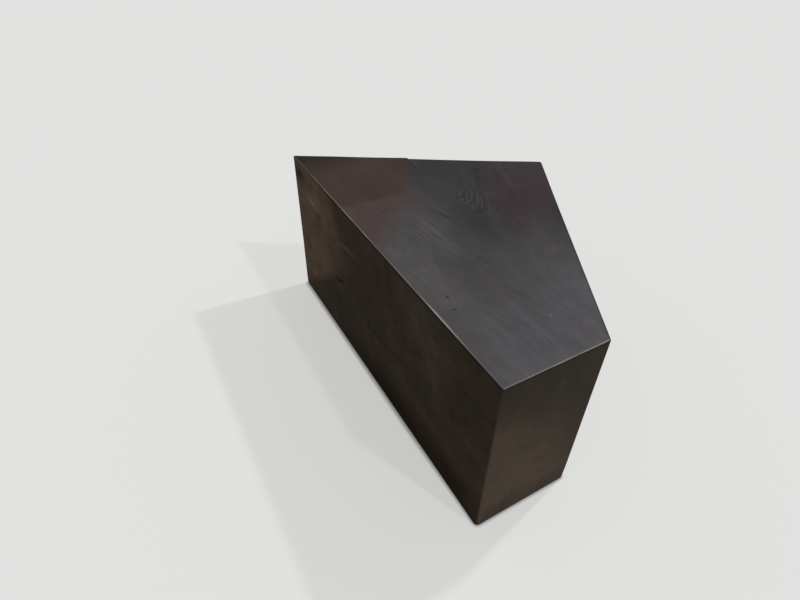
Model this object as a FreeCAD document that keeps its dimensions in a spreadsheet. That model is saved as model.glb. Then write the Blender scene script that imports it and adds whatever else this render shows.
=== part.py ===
"""Side table: a hollow block on a kite-shaped plan, mitred together from edge-glued boards.

Millimetres and degrees. The origin is on the floor under the centre of the plan's box, +X runs along the
long side from the sharp corner to the front corner, +Y runs from the long side towards the back corner,
and +Z is up. Anticlockwise in plan the corners are sharp, front, blunt and back. The two back sides meet
square, and so do the long side and the short end.
"""
import FreeCAD, Part
import os
from collections import namedtuple

import Sketcher

# Driving dimensions: alias, value, meaning
SIZES = (
    ("back_left_length", 708, "outer length from the back corner to the sharp corner"),
    ("back_right_length", 726, "outer length from the blunt corner to the back corner"),
    ("sharp_angle", 60, "plan angle at the sharp corner"),
    ("overall_height", 457, "floor to table top"),
    ("board_thickness", 28, "finished thickness of the top and side boards"),
    ("front_board_width", 280, "long side to the glue line of the top"),
    ("lower_board_height", 345, "floor to the glue lines of the sides"),
    ("corner_radius", 3, "easing of the upright arrises"),
    ("arris_radius", 2, "easing of the arris round the top"),
    ("foot_chamfer", 1.5, "easing of the lower edge of the sides"),
    ("trim_allowance", 1, "stock left on the outside until the glued block is sanded flush"),
    ("tongue_thickness", 6, "loose tongue in a mitre"),
    ("tongue_width", 20, "loose tongue in a mitre, half in each board"),
    ("tongue_seat", 0.6, "place of the tongue on the mitre, from the arris inwards"),
    ("tongue_stop", 40, "tongue end to the inside corner"),
    ("glue_relief", 0.5, "groove beyond the tongue for the glue"),
    ("post_reach", 45, "corner post, measured square from the inside of each board"),
    ("cleat_depth", 28, "cleats and rails, measured in from the boards"),
    ("cleat_height", 28, "cleats under the top"),
    ("rail_height", 45, "rails at the foot"),
    ("batten_width", 70, "battens under the top"),
    ("batten_thickness", 25, "battens under the top"),
    ("near_batten", 720, "sharp corner to the centre of the batten by the short end"),
    ("far_batten", 468, "sharp corner to the centre of the batten by the back corner"),
    ("screw_length", 45, "round-headed wood screw, from under its head"),
    ("screw_radius", 2, "shank of a screw"),
    ("screw_head_radius", 4, "head of a screw"),
    ("screw_head_height", 2.5, "head of a screw"),
    ("screw_spacing", 400, "largest distance between screws along a cleat or rail"),
    ("screw_end", 32, "first screw to the end of a cleat or rail"),
    ("floor_gap", 1.5, "floor to the sides, posts and rails"),
    ("glide_height", 4, "nylon glide let into the foot of each corner post"),
    ("glide_radius", 13, "nylon glide let into the foot of each corner post"),
    ("glide_clearance", 0.25, "recess of a glide beyond its rim"),
    ("glide_screw_length", 20, "screw of a glide, from under its head"),
    ("glide_seat", 3.2, "seat of a glide's screw head above the floor"),
)

# Sides of a screw's section
SCREW_FACETS = 8

# Plan lengths that follow from the driving dimensions
SINE = "sin(sizes.sharp_angle)"
COSINE = "cos(sizes.sharp_angle)"
LEFT = "sizes.back_left_length"
RIGHT = "sizes.back_right_length"
LONG = f"({LEFT} * {COSINE} + {RIGHT} * {SINE})"
SHORT = f"({LEFT} * {SINE} - {RIGHT} * {COSINE})"
THICK = "sizes.board_thickness"
TRIM = "sizes.trim_allowance"
TOP = "sizes.overall_height"
UNDER_TOP = f"({TOP} - {THICK})"
FOOT = "sizes.floor_gap"
SEAM = "sizes.lower_board_height"

# The easing of the sharp and back corners draws the plan's box in a little
BOX_LEFT = "(sizes.corner_radius * (1 / tan(sizes.sharp_angle / 2) - 1))"
BOX_BACK = f"({LEFT} * {SINE} - sizes.corner_radius * ({SINE} + {COSINE} - 1))"
CENTRE_X = f"(({LONG} + {BOX_LEFT}) / 2)"
CENTRE_Y = f"({BOX_BACK} / 2)"

# Plan measured from the sharp corner; a corner's heading is its inward bisector
Corner = namedtuple("Corner", "x y angle heading")
Side = namedtuple("Side", "start end length heading")
CORNERS = {
    "sharp": Corner("0", "0", "sizes.sharp_angle", "(sizes.sharp_angle / 2)"),
    "front": Corner(LONG, "0", "90", "135"),
    "blunt": Corner(LONG, SHORT, "(180 - sizes.sharp_angle)", "(180 + sizes.sharp_angle / 2)"),
    "back": Corner(f"{LEFT} * {COSINE}", f"{LEFT} * {SINE}", "90", "(225 + sizes.sharp_angle)"),
}
SIDES = {
    "long_side": Side("sharp", "front", LONG, "0"),
    "short_end": Side("front", "blunt", SHORT, "90"),
    "back_right": Side("blunt", "back", RIGHT, "(90 + sizes.sharp_angle)"),
    "back_left": Side("back", "sharp", LEFT, "(180 + sizes.sharp_angle)"),
}
# The short end is one upright board whose grain carries on from the top
BOARDS_OF_SIDE = {
    "long_side": ("lower", "upper"),
    "short_end": ("upright",),
    "back_right": ("lower", "upper"),
    "back_left": ("lower", "upper"),
}

doc = FreeCAD.newDocument("side_table")
sheet = doc.addObject("Spreadsheet::Sheet", "sizes")
for row, (alias, number, meaning) in enumerate(SIZES, start=1):
    sheet.set(f"A{row}", alias)
    sheet.set(f"B{row}", str(number))
    sheet.set(f"C{row}", meaning)
    sheet.setAlias(f"B{row}", alias)
doc.recompute()


def value(expression):
    """Number that an expression of the sheet comes to."""
    result = sheet.evalExpression(expression)
    return float(getattr(result, "Value", result))


def mitre_run(corner, depth):
    """Distance along a side by which its end draws in over a depth from the outer face."""
    return f"(({depth}) / tan({CORNERS[corner].angle} / 2))"


def post_run(corner):
    """Distance from an inside corner to the end of its post, along a board."""
    return mitre_run(corner, "sizes.post_reach")


def on_side(side_name, along="0", inward="0"):
    """Plan point of a side: along it and in from its outer face."""
    side = SIDES[side_name]
    corner = CORNERS[side.start]
    x = f"{corner.x} + cos({side.heading}) * ({along}) - sin({side.heading}) * ({inward})"
    y = f"{corner.y} + sin({side.heading}) * ({along}) + cos({side.heading}) * ({inward})"
    return x, y


def at_corner(corner_name, inward="0", across="0"):
    """Plan point of a corner: in from its arris along the bisector, and across that."""
    corner = CORNERS[corner_name]
    x = f"{corner.x} + cos({corner.heading}) * ({inward}) - sin({corner.heading}) * ({across})"
    y = f"{corner.y} + sin({corner.heading}) * ({inward}) + cos({corner.heading}) * ({across})"
    return x, y


def place(item, point=("0", "0"), z="0", heading="0"):
    """Put an object's own zero at a plan point and a height, turned to a heading."""
    item.Placement = FreeCAD.Placement(FreeCAD.Vector(), FreeCAD.Rotation(FreeCAD.Vector(0, 0, 1), 1))
    item.setExpression("Placement.Base.x", f"{point[0]} - {CENTRE_X}")
    item.setExpression("Placement.Base.y", f"{point[1]} - {CENTRE_Y}")
    item.setExpression("Placement.Base.z", z)
    item.setExpression("Placement.Rotation.Angle", heading)
    return item


def spot(point, z):
    """Vector of a plan point and a height."""
    return FreeCAD.Vector(value(f"{point[0]} - {CENTRE_X}"), value(f"{point[1]} - {CENTRE_Y}"), value(z))


def new_body(name):
    """Empty body with its label."""
    body = doc.addObject("PartDesign::Body", name)
    body.Label = name
    return body


def polygon(body, role, points, lift="0"):
    """Closed sketch on an origin plane, with every point bound to its two expressions."""
    sketch = body.newObject("Sketcher::SketchObject", f"{body.Name}_outline")
    plane = next(item for item in body.Origin.OriginFeatures if item.Role == role)
    sketch.AttachmentSupport = [(plane, "")]
    sketch.MapMode = "FlatFace"
    sketch.setExpression("AttachmentOffset.Base.z", lift)
    vertices = [FreeCAD.Vector(value(x), value(y), 0) for x, y in points]
    following = [(index + 1) % len(vertices) for index in range(len(vertices))]
    for vertex, after in zip(vertices, following):
        sketch.addGeometry(Part.LineSegment(vertex, vertices[after]), False)
    for index, after in enumerate(following):
        sketch.addConstraint(Sketcher.Constraint("Coincident", index, 2, after, 1))
    for index, pair in enumerate(points):
        for kind, expression in zip(("DistanceX", "DistanceY"), pair):
            label = f"{kind}_{index}"
            constraint = Sketcher.Constraint(kind, -1, 1, index, 1, value(expression))
            sketch.renameConstraint(sketch.addConstraint(constraint), label)
            sketch.setExpression(f"Constraints.{label}", expression)
    return sketch


def pad(body, sketch, length):
    """Pad a sketch away from its plane by a length."""
    feature = body.newObject("PartDesign::Pad", f"{body.Name}_pad")
    feature.Profile = sketch
    feature.setExpression("Length", length)
    return feature


def turned(name, points):
    """Body turned about +Z from half a profile of radii and heights."""
    body = new_body(name)
    sketch = polygon(body, "XZ_Plane", points)
    feature = body.newObject("PartDesign::Revolution", f"{name}_turn")
    feature.Profile = sketch
    feature.ReferenceAxis = (sketch, ["V_Axis"])
    feature.Angle = 360
    return body


def box(name, length, width, height):
    """Part box bound to three expressions."""
    item = doc.addObject("Part::Box", name)
    item.Label = name
    item.setExpression("Length", length)
    item.setExpression("Width", width)
    item.setExpression("Height", height)
    return item


def cut(name, base, tools):
    """Cut tools from a base one after another; the last result has the name."""
    for number, tool in enumerate(tools, start=1):
        result = doc.addObject("Part::Cut", f"{name}_cut_{number}")
        result.Base = base
        result.Tool = tool
        base = result
    base.Label = name
    return base


def eased(name, blank):
    """What is left of a blank when the glued block is sanded to its eased outside."""
    result = doc.addObject("Part::Common", f"{name}_eased")
    result.Base = blank
    result.Tool = block
    return result


def plan_outline(offset):
    """Points of the plan drawn in by an offset, with the ends of the top's glue line."""
    width = "sizes.front_board_width"
    inset = f"({LONG} - ({offset}))"
    reach = f"({LEFT} - ({offset}))"
    return {
        "sharp": (mitre_run("sharp", offset), offset),
        "front": (inset, offset),
        "blunt": (inset, f"({reach} - {inset} * {COSINE}) / {SINE}"),
        "glue_right": (f"({reach} - {width} * {SINE}) / {COSINE}", width),
        "back": (f"({offset}) * {SINE} + {reach} * {COSINE}", f"{reach} * {SINE} - ({offset}) * {COSINE}"),
        "glue_left": (f"({offset} + {width} * {COSINE}) / {SINE}", width),
    }


def make_block():
    """Outside of the finished table: the plan standing up, with eased arrises and a chamfered foot."""
    body = place(new_body("finished_outside"))
    outline = plan_outline("0")
    sketch = polygon(body, "XY_Plane", [outline[name] for name in CORNERS], lift=FOOT)
    upright = pad(body, sketch, f"{TOP} - {FOOT}")
    doc.recompute()
    base = upright
    for kind, size, alias, wanted in (
        ("Fillet", "Radius", "corner_radius", lambda edge, low, high: high - low > 1),
        ("Fillet", "Radius", "arris_radius", lambda edge, low, high: low > value(TOP) - 0.01),
        ("Chamfer", "Size", "foot_chamfer", lambda edge, low, high: high < value(FOOT) + 0.01),
    ):
        edges = []
        for number, edge in enumerate(base.Shape.Edges, start=1):
            if wanted(edge, edge.BoundBox.ZMin, edge.BoundBox.ZMax):
                edges.append(f"Edge{number}")
        feature = body.newObject(f"PartDesign::{kind}", f"{body.Name}_{alias}")
        feature.Base = (base, edges)
        feature.setExpression(size, f"sizes.{alias}")
        doc.recompute()
        base = feature
    return body


def make_tongues():
    """Loose tongues of the upright mitres and of the mitres round the top, with their grooves."""
    tongues = {}
    grooves = {}
    for corner_name, corner in CORNERS.items():
        centre = f"sizes.tongue_seat * {THICK} / sin({corner.angle} / 2)"
        for store, name, relief in ((tongues, f"{corner_name}_corner_tongue", "0"),
                                    (grooves, f"{corner_name}_corner_groove", "sizes.glue_relief")):
            width = f"(sizes.tongue_width + 2 * {relief})"
            low = f"({FOOT} + sizes.tongue_stop - {relief})"
            high = f"({UNDER_TOP} - sizes.tongue_stop + {relief})"
            item = box(name, "sizes.tongue_thickness", width, f"{high} - {low}")
            point = at_corner(corner_name, f"{centre} - sizes.tongue_thickness / 2", f"-{width} / 2")
            store[name] = place(item, point, low, corner.heading)
    for side_name, side in SIDES.items():
        depth = f"sizes.tongue_seat * {THICK}"
        half_thick = "sizes.tongue_thickness / 2 * sqrt(0.5)"
        for store, name, relief in ((tongues, f"{side_name}_top_tongue", "0"),
                                    (grooves, f"{side_name}_top_groove", "sizes.glue_relief")):
            half_wide = f"(sizes.tongue_width / 2 + {relief}) * sqrt(0.5)"
            section = []
            for thick_way, wide_way in ((-1, -1), (1, -1), (1, 1), (-1, 1)):
                inward = f"{depth} + {thick_way} * {half_thick} + {wide_way} * {half_wide}"
                upward = f"{TOP} - {depth} - {thick_way} * {half_thick} + {wide_way} * {half_wide}"
                section.append((inward, upward))
            start = f"({mitre_run(side.start, THICK)} + sizes.tongue_stop - {relief})"
            end = f"({side.length} - {mitre_run(side.end, THICK)} - sizes.tongue_stop + {relief})"
            body = place(new_body(name), on_side(side_name), heading=side.heading)
            pad(body, polygon(body, "YZ_Plane", section, lift=start), f"{end} - {start}")
            store[name] = body
    return tongues, grooves


def prism(name, radius, height, z="0"):
    """Many-sided prism about +Z, bound to its expressions."""
    item = doc.addObject("Part::Prism", name)
    item.Polygon = SCREW_FACETS
    item.setExpression("Circumradius", radius)
    item.setExpression("Height", height)
    item.setExpression("Placement.Base.z", z)
    return item


def make_screw(name, length):
    """Screw with its seat at its own zero, head above and shank below."""
    screw = doc.addObject("Part::Fuse", name)
    screw.Base = prism(f"{name}_head", "sizes.screw_head_radius", "sizes.screw_head_height")
    screw.Tool = prism(f"{name}_shank", "sizes.screw_radius", length, f"-{length}")
    return screw


def screw_group(name, master, stations):
    """Group of like screws: each station is the seat of a head and the way the screw points."""
    screws = []
    for point, direction in stations:
        turn = FreeCAD.Rotation(FreeCAD.Vector(0, 0, -1), direction)
        screw = master.Shape.copy()
        screw.Placement = FreeCAD.Placement(point, turn)
        screws.append(screw)
    group = doc.addObject("Part::Feature", name)
    group.Label = name
    group.Shape = Part.makeCompound(screws)
    return group


def bar_span(side_name):
    """Start along a side, and length, of a cleat or rail that butts between two posts."""
    side = SIDES[side_name]
    start = f"({mitre_run(side.start, THICK)} + {post_run(side.start)})"
    end = f"({side.length} - {mitre_run(side.end, THICK)} - {post_run(side.end)})"
    return start, f"({end} - {start})"


def inward_of(side_name):
    """Unit vector from a side's outer face to the inside."""
    turn = FreeCAD.Rotation(FreeCAD.Vector(0, 0, 1), value(SIDES[side_name].heading))
    return turn.multVec(FreeCAD.Vector(0, 1, 0))


def stations_along(side_name, shift):
    """Screw places along a cleat or rail, evenly spread, moved by a shift to miss the other row."""
    start, length = bar_span(side_name)
    first = value(start) + value("sizes.screw_end") + shift
    run = value(length) - 2 * value("sizes.screw_end")
    gaps = max(1, round(run / value("sizes.screw_spacing")))
    return [first + run * number / gaps for number in range(gaps + 1)]


def make_screws():
    """Wood screws of the rails, cleats and battens, in groups by what they hold."""
    master = make_screw("wood_screw", "sizes.screw_length")
    doc.recompute()
    rail, cleat, top, batten = [], [], [], []
    face = f"({THICK} + sizes.cleat_depth)"
    half_depth = f"({THICK} + sizes.cleat_depth / 2)"
    stagger = value("2 * sizes.screw_head_radius")
    up = FreeCAD.Vector(0, 0, 1)
    for side_name in SIDES:
        outward = -inward_of(side_name)
        for along in stations_along(side_name, 0):
            point = on_side(side_name, along, face)
            rail.append((spot(point, f"{FOOT} + sizes.rail_height / 2"), outward))
        for along in stations_along(side_name, -stagger):
            point = on_side(side_name, along, face)
            cleat.append((spot(point, f"{UNDER_TOP} - sizes.cleat_height / 2"), outward))
        for along in stations_along(side_name, stagger):
            point = on_side(side_name, along, half_depth)
            top.append((spot(point, f"{UNDER_TOP} - sizes.cleat_height"), up))
    for alias in ("near_batten", "far_batten"):
        last = batten_end(f"(sizes.{alias} + sizes.batten_width / 2)")
        for share in (0, 0.5, 1):
            inward = f"{face} + sizes.screw_end + {share} * ({last} - {face} - 2 * sizes.screw_end)"
            batten.append((spot((f"sizes.{alias}", inward), f"{UNDER_TOP} - sizes.batten_thickness"), up))
    stations = {"rail_screws": rail, "cleat_screws": cleat, "top_screws": top, "batten_screws": batten}
    return {name: screw_group(name, master, places) for name, places in stations.items()}


def make_side_boards(side_name, grooves, screws):
    """Boards of one side: mitred at both ends and, along the upper edge, to the top."""
    side = SIDES[side_name]
    spans = {"lower": (f"({FOOT} - {TRIM})", SEAM), "upper": (SEAM, f"({TOP} + {TRIM})")}
    spans["upright"] = (spans["lower"][0], spans["upper"][1])
    boards = {}
    for level in BOARDS_OF_SIDE[side_name]:
        name = f"{side_name}_{level}_board"
        low, high = spans[level]
        body = place(new_body(f"{name}_blank"), on_side(side_name), heading=side.heading)
        plan = (
            (f"-{mitre_run(side.start, TRIM)}", f"-{TRIM}"),
            (f"{side.length} + {mitre_run(side.end, TRIM)}", f"-{TRIM}"),
            (f"{side.length} - {mitre_run(side.end, THICK)}", THICK),
            (mitre_run(side.start, THICK), THICK),
        )
        pad(body, polygon(body, "XY_Plane", plan, lift=low), f"{high} - {low}")
        if level != "lower":
            above_mitre = (
                (f"-2 * {TRIM}", f"{TOP} + 2 * {TRIM}"),
                (f"{THICK} + {TRIM}", f"{TOP} - {THICK} - {TRIM}"),
                (f"{THICK} + {TRIM}", f"{TOP} + 2 * {TRIM}"),
            )
            sketch = polygon(body, "YZ_Plane", above_mitre, lift=f"-{THICK}")
            doc.recompute()
            before = body.Shape.Volume
            pocket = body.newObject("PartDesign::Pocket", f"{name}_top_mitre")
            pocket.Profile = sketch
            pocket.Type = "ThroughAll"
            pocket.Reversed = True
            doc.recompute()
            removed = before - body.Shape.Volume
            expected = value(f"({THICK} + {TRIM}) ^ 2 / 2 * {side.length}")
            if not 0.8 < removed / expected < 1.2:
                raise RuntimeError(f"{name}: top mitre removed {removed:.0f}, expected {expected:.0f}")
        tools = [grooves[f"{side.start}_corner_groove"], grooves[f"{side.end}_corner_groove"]]
        if level != "lower":
            tools += [grooves[f"{side_name}_top_groove"], screws["cleat_screws"]]
        if level != "upper":
            tools.append(screws["rail_screws"])
        boards[name] = cut(name, eased(name, body), tools)
    return boards


def make_top_boards(grooves, screws):
    """Two boards of the top, glued along a line that runs with the long side, mitred all round."""
    below_mitre = (
        (f"-2 * {TRIM}", f"{TOP} + 2 * {TRIM}"),
        (f"-2 * {TRIM}", f"{TOP} - {THICK} - {TRIM}"),
        (f"{THICK} + {TRIM}", f"{TOP} - {THICK} - {TRIM}"),
    )
    wedges = {}
    for side_name, side in SIDES.items():
        wedge = place(new_body(f"{side_name}_below_mitre"), on_side(side_name), heading=side.heading)
        pad(wedge, polygon(wedge, "YZ_Plane", below_mitre, lift=f"-{THICK}"), f"{side.length} + 2 * {THICK}")
        wedges[side_name] = wedge
    outline = plan_outline(f"(-{TRIM})")
    boards = {}
    for name, corners in (("top_front_board", ("sharp", "front", "blunt", "glue_right", "glue_left")),
                          ("top_back_board", ("glue_left", "glue_right", "back"))):
        body = place(new_body(f"{name}_blank"))
        sketch = polygon(body, "XY_Plane", [outline[corner] for corner in corners], lift=UNDER_TOP)
        pad(body, sketch, f"{THICK} + {TRIM}")
        tools = [wedges[side_name] for side_name in SIDES]
        tools += [grooves[f"{side_name}_top_groove"] for side_name in SIDES]
        tools += [screws["top_screws"], screws["batten_screws"]]
        boards[name] = cut(name, eased(name, body), tools)
    return boards


def make_posts(glide_screws):
    """Corner posts: kites in plan whose free faces stand square to the boards."""
    posts = {}
    for corner_name, corner in CORNERS.items():
        name = f"{corner_name}_corner_post"
        run = post_run(corner_name)
        half = f"({corner.angle} / 2)"
        inside_corner = at_corner(corner_name, f"{THICK} / sin{half}")
        body = place(new_body(f"{name}_blank"), inside_corner, heading=corner.heading)
        kite = (
            ("0", "0"),
            (f"{run} * cos{half}", f"-{run} * sin{half}"),
            (f"{run} / cos{half}", "0"),
            (f"{run} * cos{half}", f"{run} * sin{half}"),
        )
        pad(body, polygon(body, "XY_Plane", kite, lift=FOOT), f"{UNDER_TOP} - {FOOT}")
        recess = glide_disc(f"{name}_recess", corner_name, "sizes.glide_radius + sizes.glide_clearance")
        posts[name] = cut(name, body, [recess, glide_screws])
    return posts


def make_bars(screws):
    """Cleats under the top and rails at the foot, butted between the posts."""
    bars = {}
    for side_name in SIDES:
        start, length = bar_span(side_name)
        for kind, height, z, groups in (
            ("top_cleat", "sizes.cleat_height", f"{UNDER_TOP} - sizes.cleat_height", ("cleat_screws", "top_screws")),
            ("foot_rail", "sizes.rail_height", FOOT, ("rail_screws",)),
        ):
            name = f"{side_name}_{kind}"
            bar = box(f"{name}_blank", length, "sizes.cleat_depth", height)
            place(bar, on_side(side_name, start, THICK), z, SIDES[side_name].heading)
            bars[name] = cut(name, bar, [screws[group] for group in groups])
    return bars


def batten_end(x):
    """Distance from the long side to the back right cleat, at a distance from the sharp corner."""
    return f"(({LEFT} - {THICK} - sizes.cleat_depth - {x} * {COSINE}) / {SINE})"


def make_battens(screws):
    """Battens across the glue line of the top, from the long cleat to the back right one."""
    battens = {}
    for alias in ("near_batten", "far_batten"):
        name = f"{alias.split('_')[0]}_top_batten"
        left = f"(sizes.{alias} - sizes.batten_width / 2)"
        right = f"(sizes.{alias} + sizes.batten_width / 2)"
        front = f"({THICK} + sizes.cleat_depth)"
        plan = ((left, front), (right, front), (right, batten_end(right)), (left, batten_end(left)))
        body = place(new_body(f"{name}_blank"))
        sketch = polygon(body, "XY_Plane", plan, lift=f"{UNDER_TOP} - sizes.batten_thickness")
        pad(body, sketch, "sizes.batten_thickness")
        battens[name] = cut(name, body, [screws["batten_screws"]])
    return battens


def glide_disc(name, corner_name, radius):
    """Disc of a glide's height on the floor, on the centre of the circle that touches a post's four faces."""
    half = f"({CORNERS[corner_name].angle} / 2)"
    middle = f"{THICK} / sin{half} + {post_run(corner_name)} / (sin{half} + cos{half})"
    body = turned(name, (("0", "0"), (radius, "0"), (radius, "sizes.glide_height"), ("0", "sizes.glide_height")))
    return place(body, at_corner(corner_name, middle))


def make_glides():
    """Nylon glides, one let into each post's foot, each with a sunk screw, and the screws."""
    screw = make_screw("glide_screw", "sizes.glide_screw_length")
    doc.recompute()
    blanks = {}
    stations = []
    for corner_name in CORNERS:
        name = f"{corner_name}_glide"
        blanks[name] = glide_disc(f"{name}_blank", corner_name, "sizes.glide_radius")
    doc.recompute()
    for body in blanks.values():
        stations.append((body.Placement.Base + FreeCAD.Vector(0, 0, value("sizes.glide_seat")), FreeCAD.Vector(0, 0, 1)))
    group = screw_group("glide_screws", screw, stations)
    bored = []
    for name, body in blanks.items():
        sinking = prism(f"{name}_sinking", "sizes.screw_head_radius", "sizes.glide_seat")
        sinking.setExpression("Placement.Base.x", f"{body.Name}.Placement.Base.x")
        sinking.setExpression("Placement.Base.y", f"{body.Name}.Placement.Base.y")
        bored.append(cut(name, body, [group, sinking]))
    glides = doc.addObject("Part::Compound", "floor_glides")
    glides.Label = "floor_glides"
    glides.Links = bored
    return {"floor_glides": glides, "glide_screws": group}


def export(nodes):
    """Check every object and write each sub-part to its own file."""
    doc.recompute()
    failed = [item.Name for item in doc.Objects if {"Invalid", "Error"} & set(item.State)]
    if failed:
        raise RuntimeError(f"failed objects: {failed}")
    for name, item in nodes.items():
        if item.Shape.isNull() or not item.Shape.isValid() or not item.Shape.Solids:
            raise RuntimeError(f"{name}: no valid solid")
    os.makedirs("parts", exist_ok=True)
    for name, item in nodes.items():
        solids = item.Shape.Solids
        shape = solids[0] if len(solids) == 1 else Part.makeCompound(solids)
        shape.exportStep(os.path.join("parts", f"{name}.step"))
        print(f"{name}: {len(solids)} solid(s), {shape.Volume / 1000:.1f} cm3")


block = make_block()
tongues, grooves = make_tongues()
screws = make_screws()
glides = make_glides()
nodes = make_top_boards(grooves, screws)
for side_name in SIDES:
    nodes.update(make_side_boards(side_name, grooves, screws))
nodes.update(tongues)
nodes.update(make_posts(glides["glide_screws"]))
nodes.update(make_bars(screws))
nodes.update(make_battens(screws))
nodes.update(screws)
nodes.update(glides)
export(nodes)
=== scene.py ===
"""Dresses a dark stained block table: mitred boards, the timber inside, glides, floor, lamps and camera."""

import logging
import math
from dataclasses import dataclass
from enum import Enum
from functools import cached_property

import bpy
import numpy as np
from mathutils import Matrix, Vector


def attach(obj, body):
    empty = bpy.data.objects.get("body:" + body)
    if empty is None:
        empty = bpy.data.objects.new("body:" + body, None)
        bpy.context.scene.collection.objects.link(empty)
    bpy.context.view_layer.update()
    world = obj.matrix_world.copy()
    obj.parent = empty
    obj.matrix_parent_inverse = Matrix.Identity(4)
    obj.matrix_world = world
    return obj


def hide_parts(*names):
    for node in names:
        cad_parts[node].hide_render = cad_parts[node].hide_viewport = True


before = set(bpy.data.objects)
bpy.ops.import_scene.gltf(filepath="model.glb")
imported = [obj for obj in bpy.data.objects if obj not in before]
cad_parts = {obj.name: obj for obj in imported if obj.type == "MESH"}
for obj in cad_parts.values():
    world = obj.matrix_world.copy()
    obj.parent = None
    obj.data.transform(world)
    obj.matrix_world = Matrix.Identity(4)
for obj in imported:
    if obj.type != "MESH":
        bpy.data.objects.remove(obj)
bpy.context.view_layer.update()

LOG = logging.getLogger("side_table")
Array = np.ndarray
Socket = bpy.types.NodeSocket
Colour = tuple[float, float, float]
Point = tuple[float, float, float]
Pair = tuple[float, float]
# Mesh points on half the arc of a corner, and on an eased foot or arris.
ARC, EASED = 7, 6
# Steepest bend that is still shaded smooth.
SMOOTH_BEND = math.radians(40)
# How far in from upright and from level arrises a face turns uneven, and the length over which it does.
UPRIGHT_RIM, LEVEL_RIM, FADE = 0.006, 0.004, 0.02
# Mean depth of the marks of the plane, and the swing of each wave about it.
PLANED, PLANED_SWING = 0.00015, 0.00006


class Corner(Enum):
    """The upright corners of the case, anticlockwise from the sharp one."""

    SHARP = 0
    FRONT = 1
    BLUNT = 2
    BACK = 3


class Side(Enum):
    """The sides of the case; each one starts at the corner with the same number."""

    LONG_SIDE = 0
    SHORT_END = 1
    BACK_RIGHT = 2
    BACK_LEFT = 3


class SideBand(Enum):
    """The board of a side: below the glue line, above it, or one upright board."""

    LOWER = "lower_board"
    UPPER = "upper_board"
    UPRIGHT = "upright_board"


class TopBand(Enum):
    """The board of the top: before or behind the glue line."""

    FRONT = "top_front_board"
    BACK = "top_back_board"


def bell(value: float | Array, middle: float, width: float | Array) -> Array:
    """Gives a bell: e to the power of less the squared distance from the middle over the width."""
    return np.exp(-(((value - middle) / width) ** 2))


def rise(value: Array, start: float, reach: float) -> Array:
    """Gives a straight rise from 0 at the start to 1 after the reach, level on both sides."""
    return np.clip((value - start) / reach, 0, 1)


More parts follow.
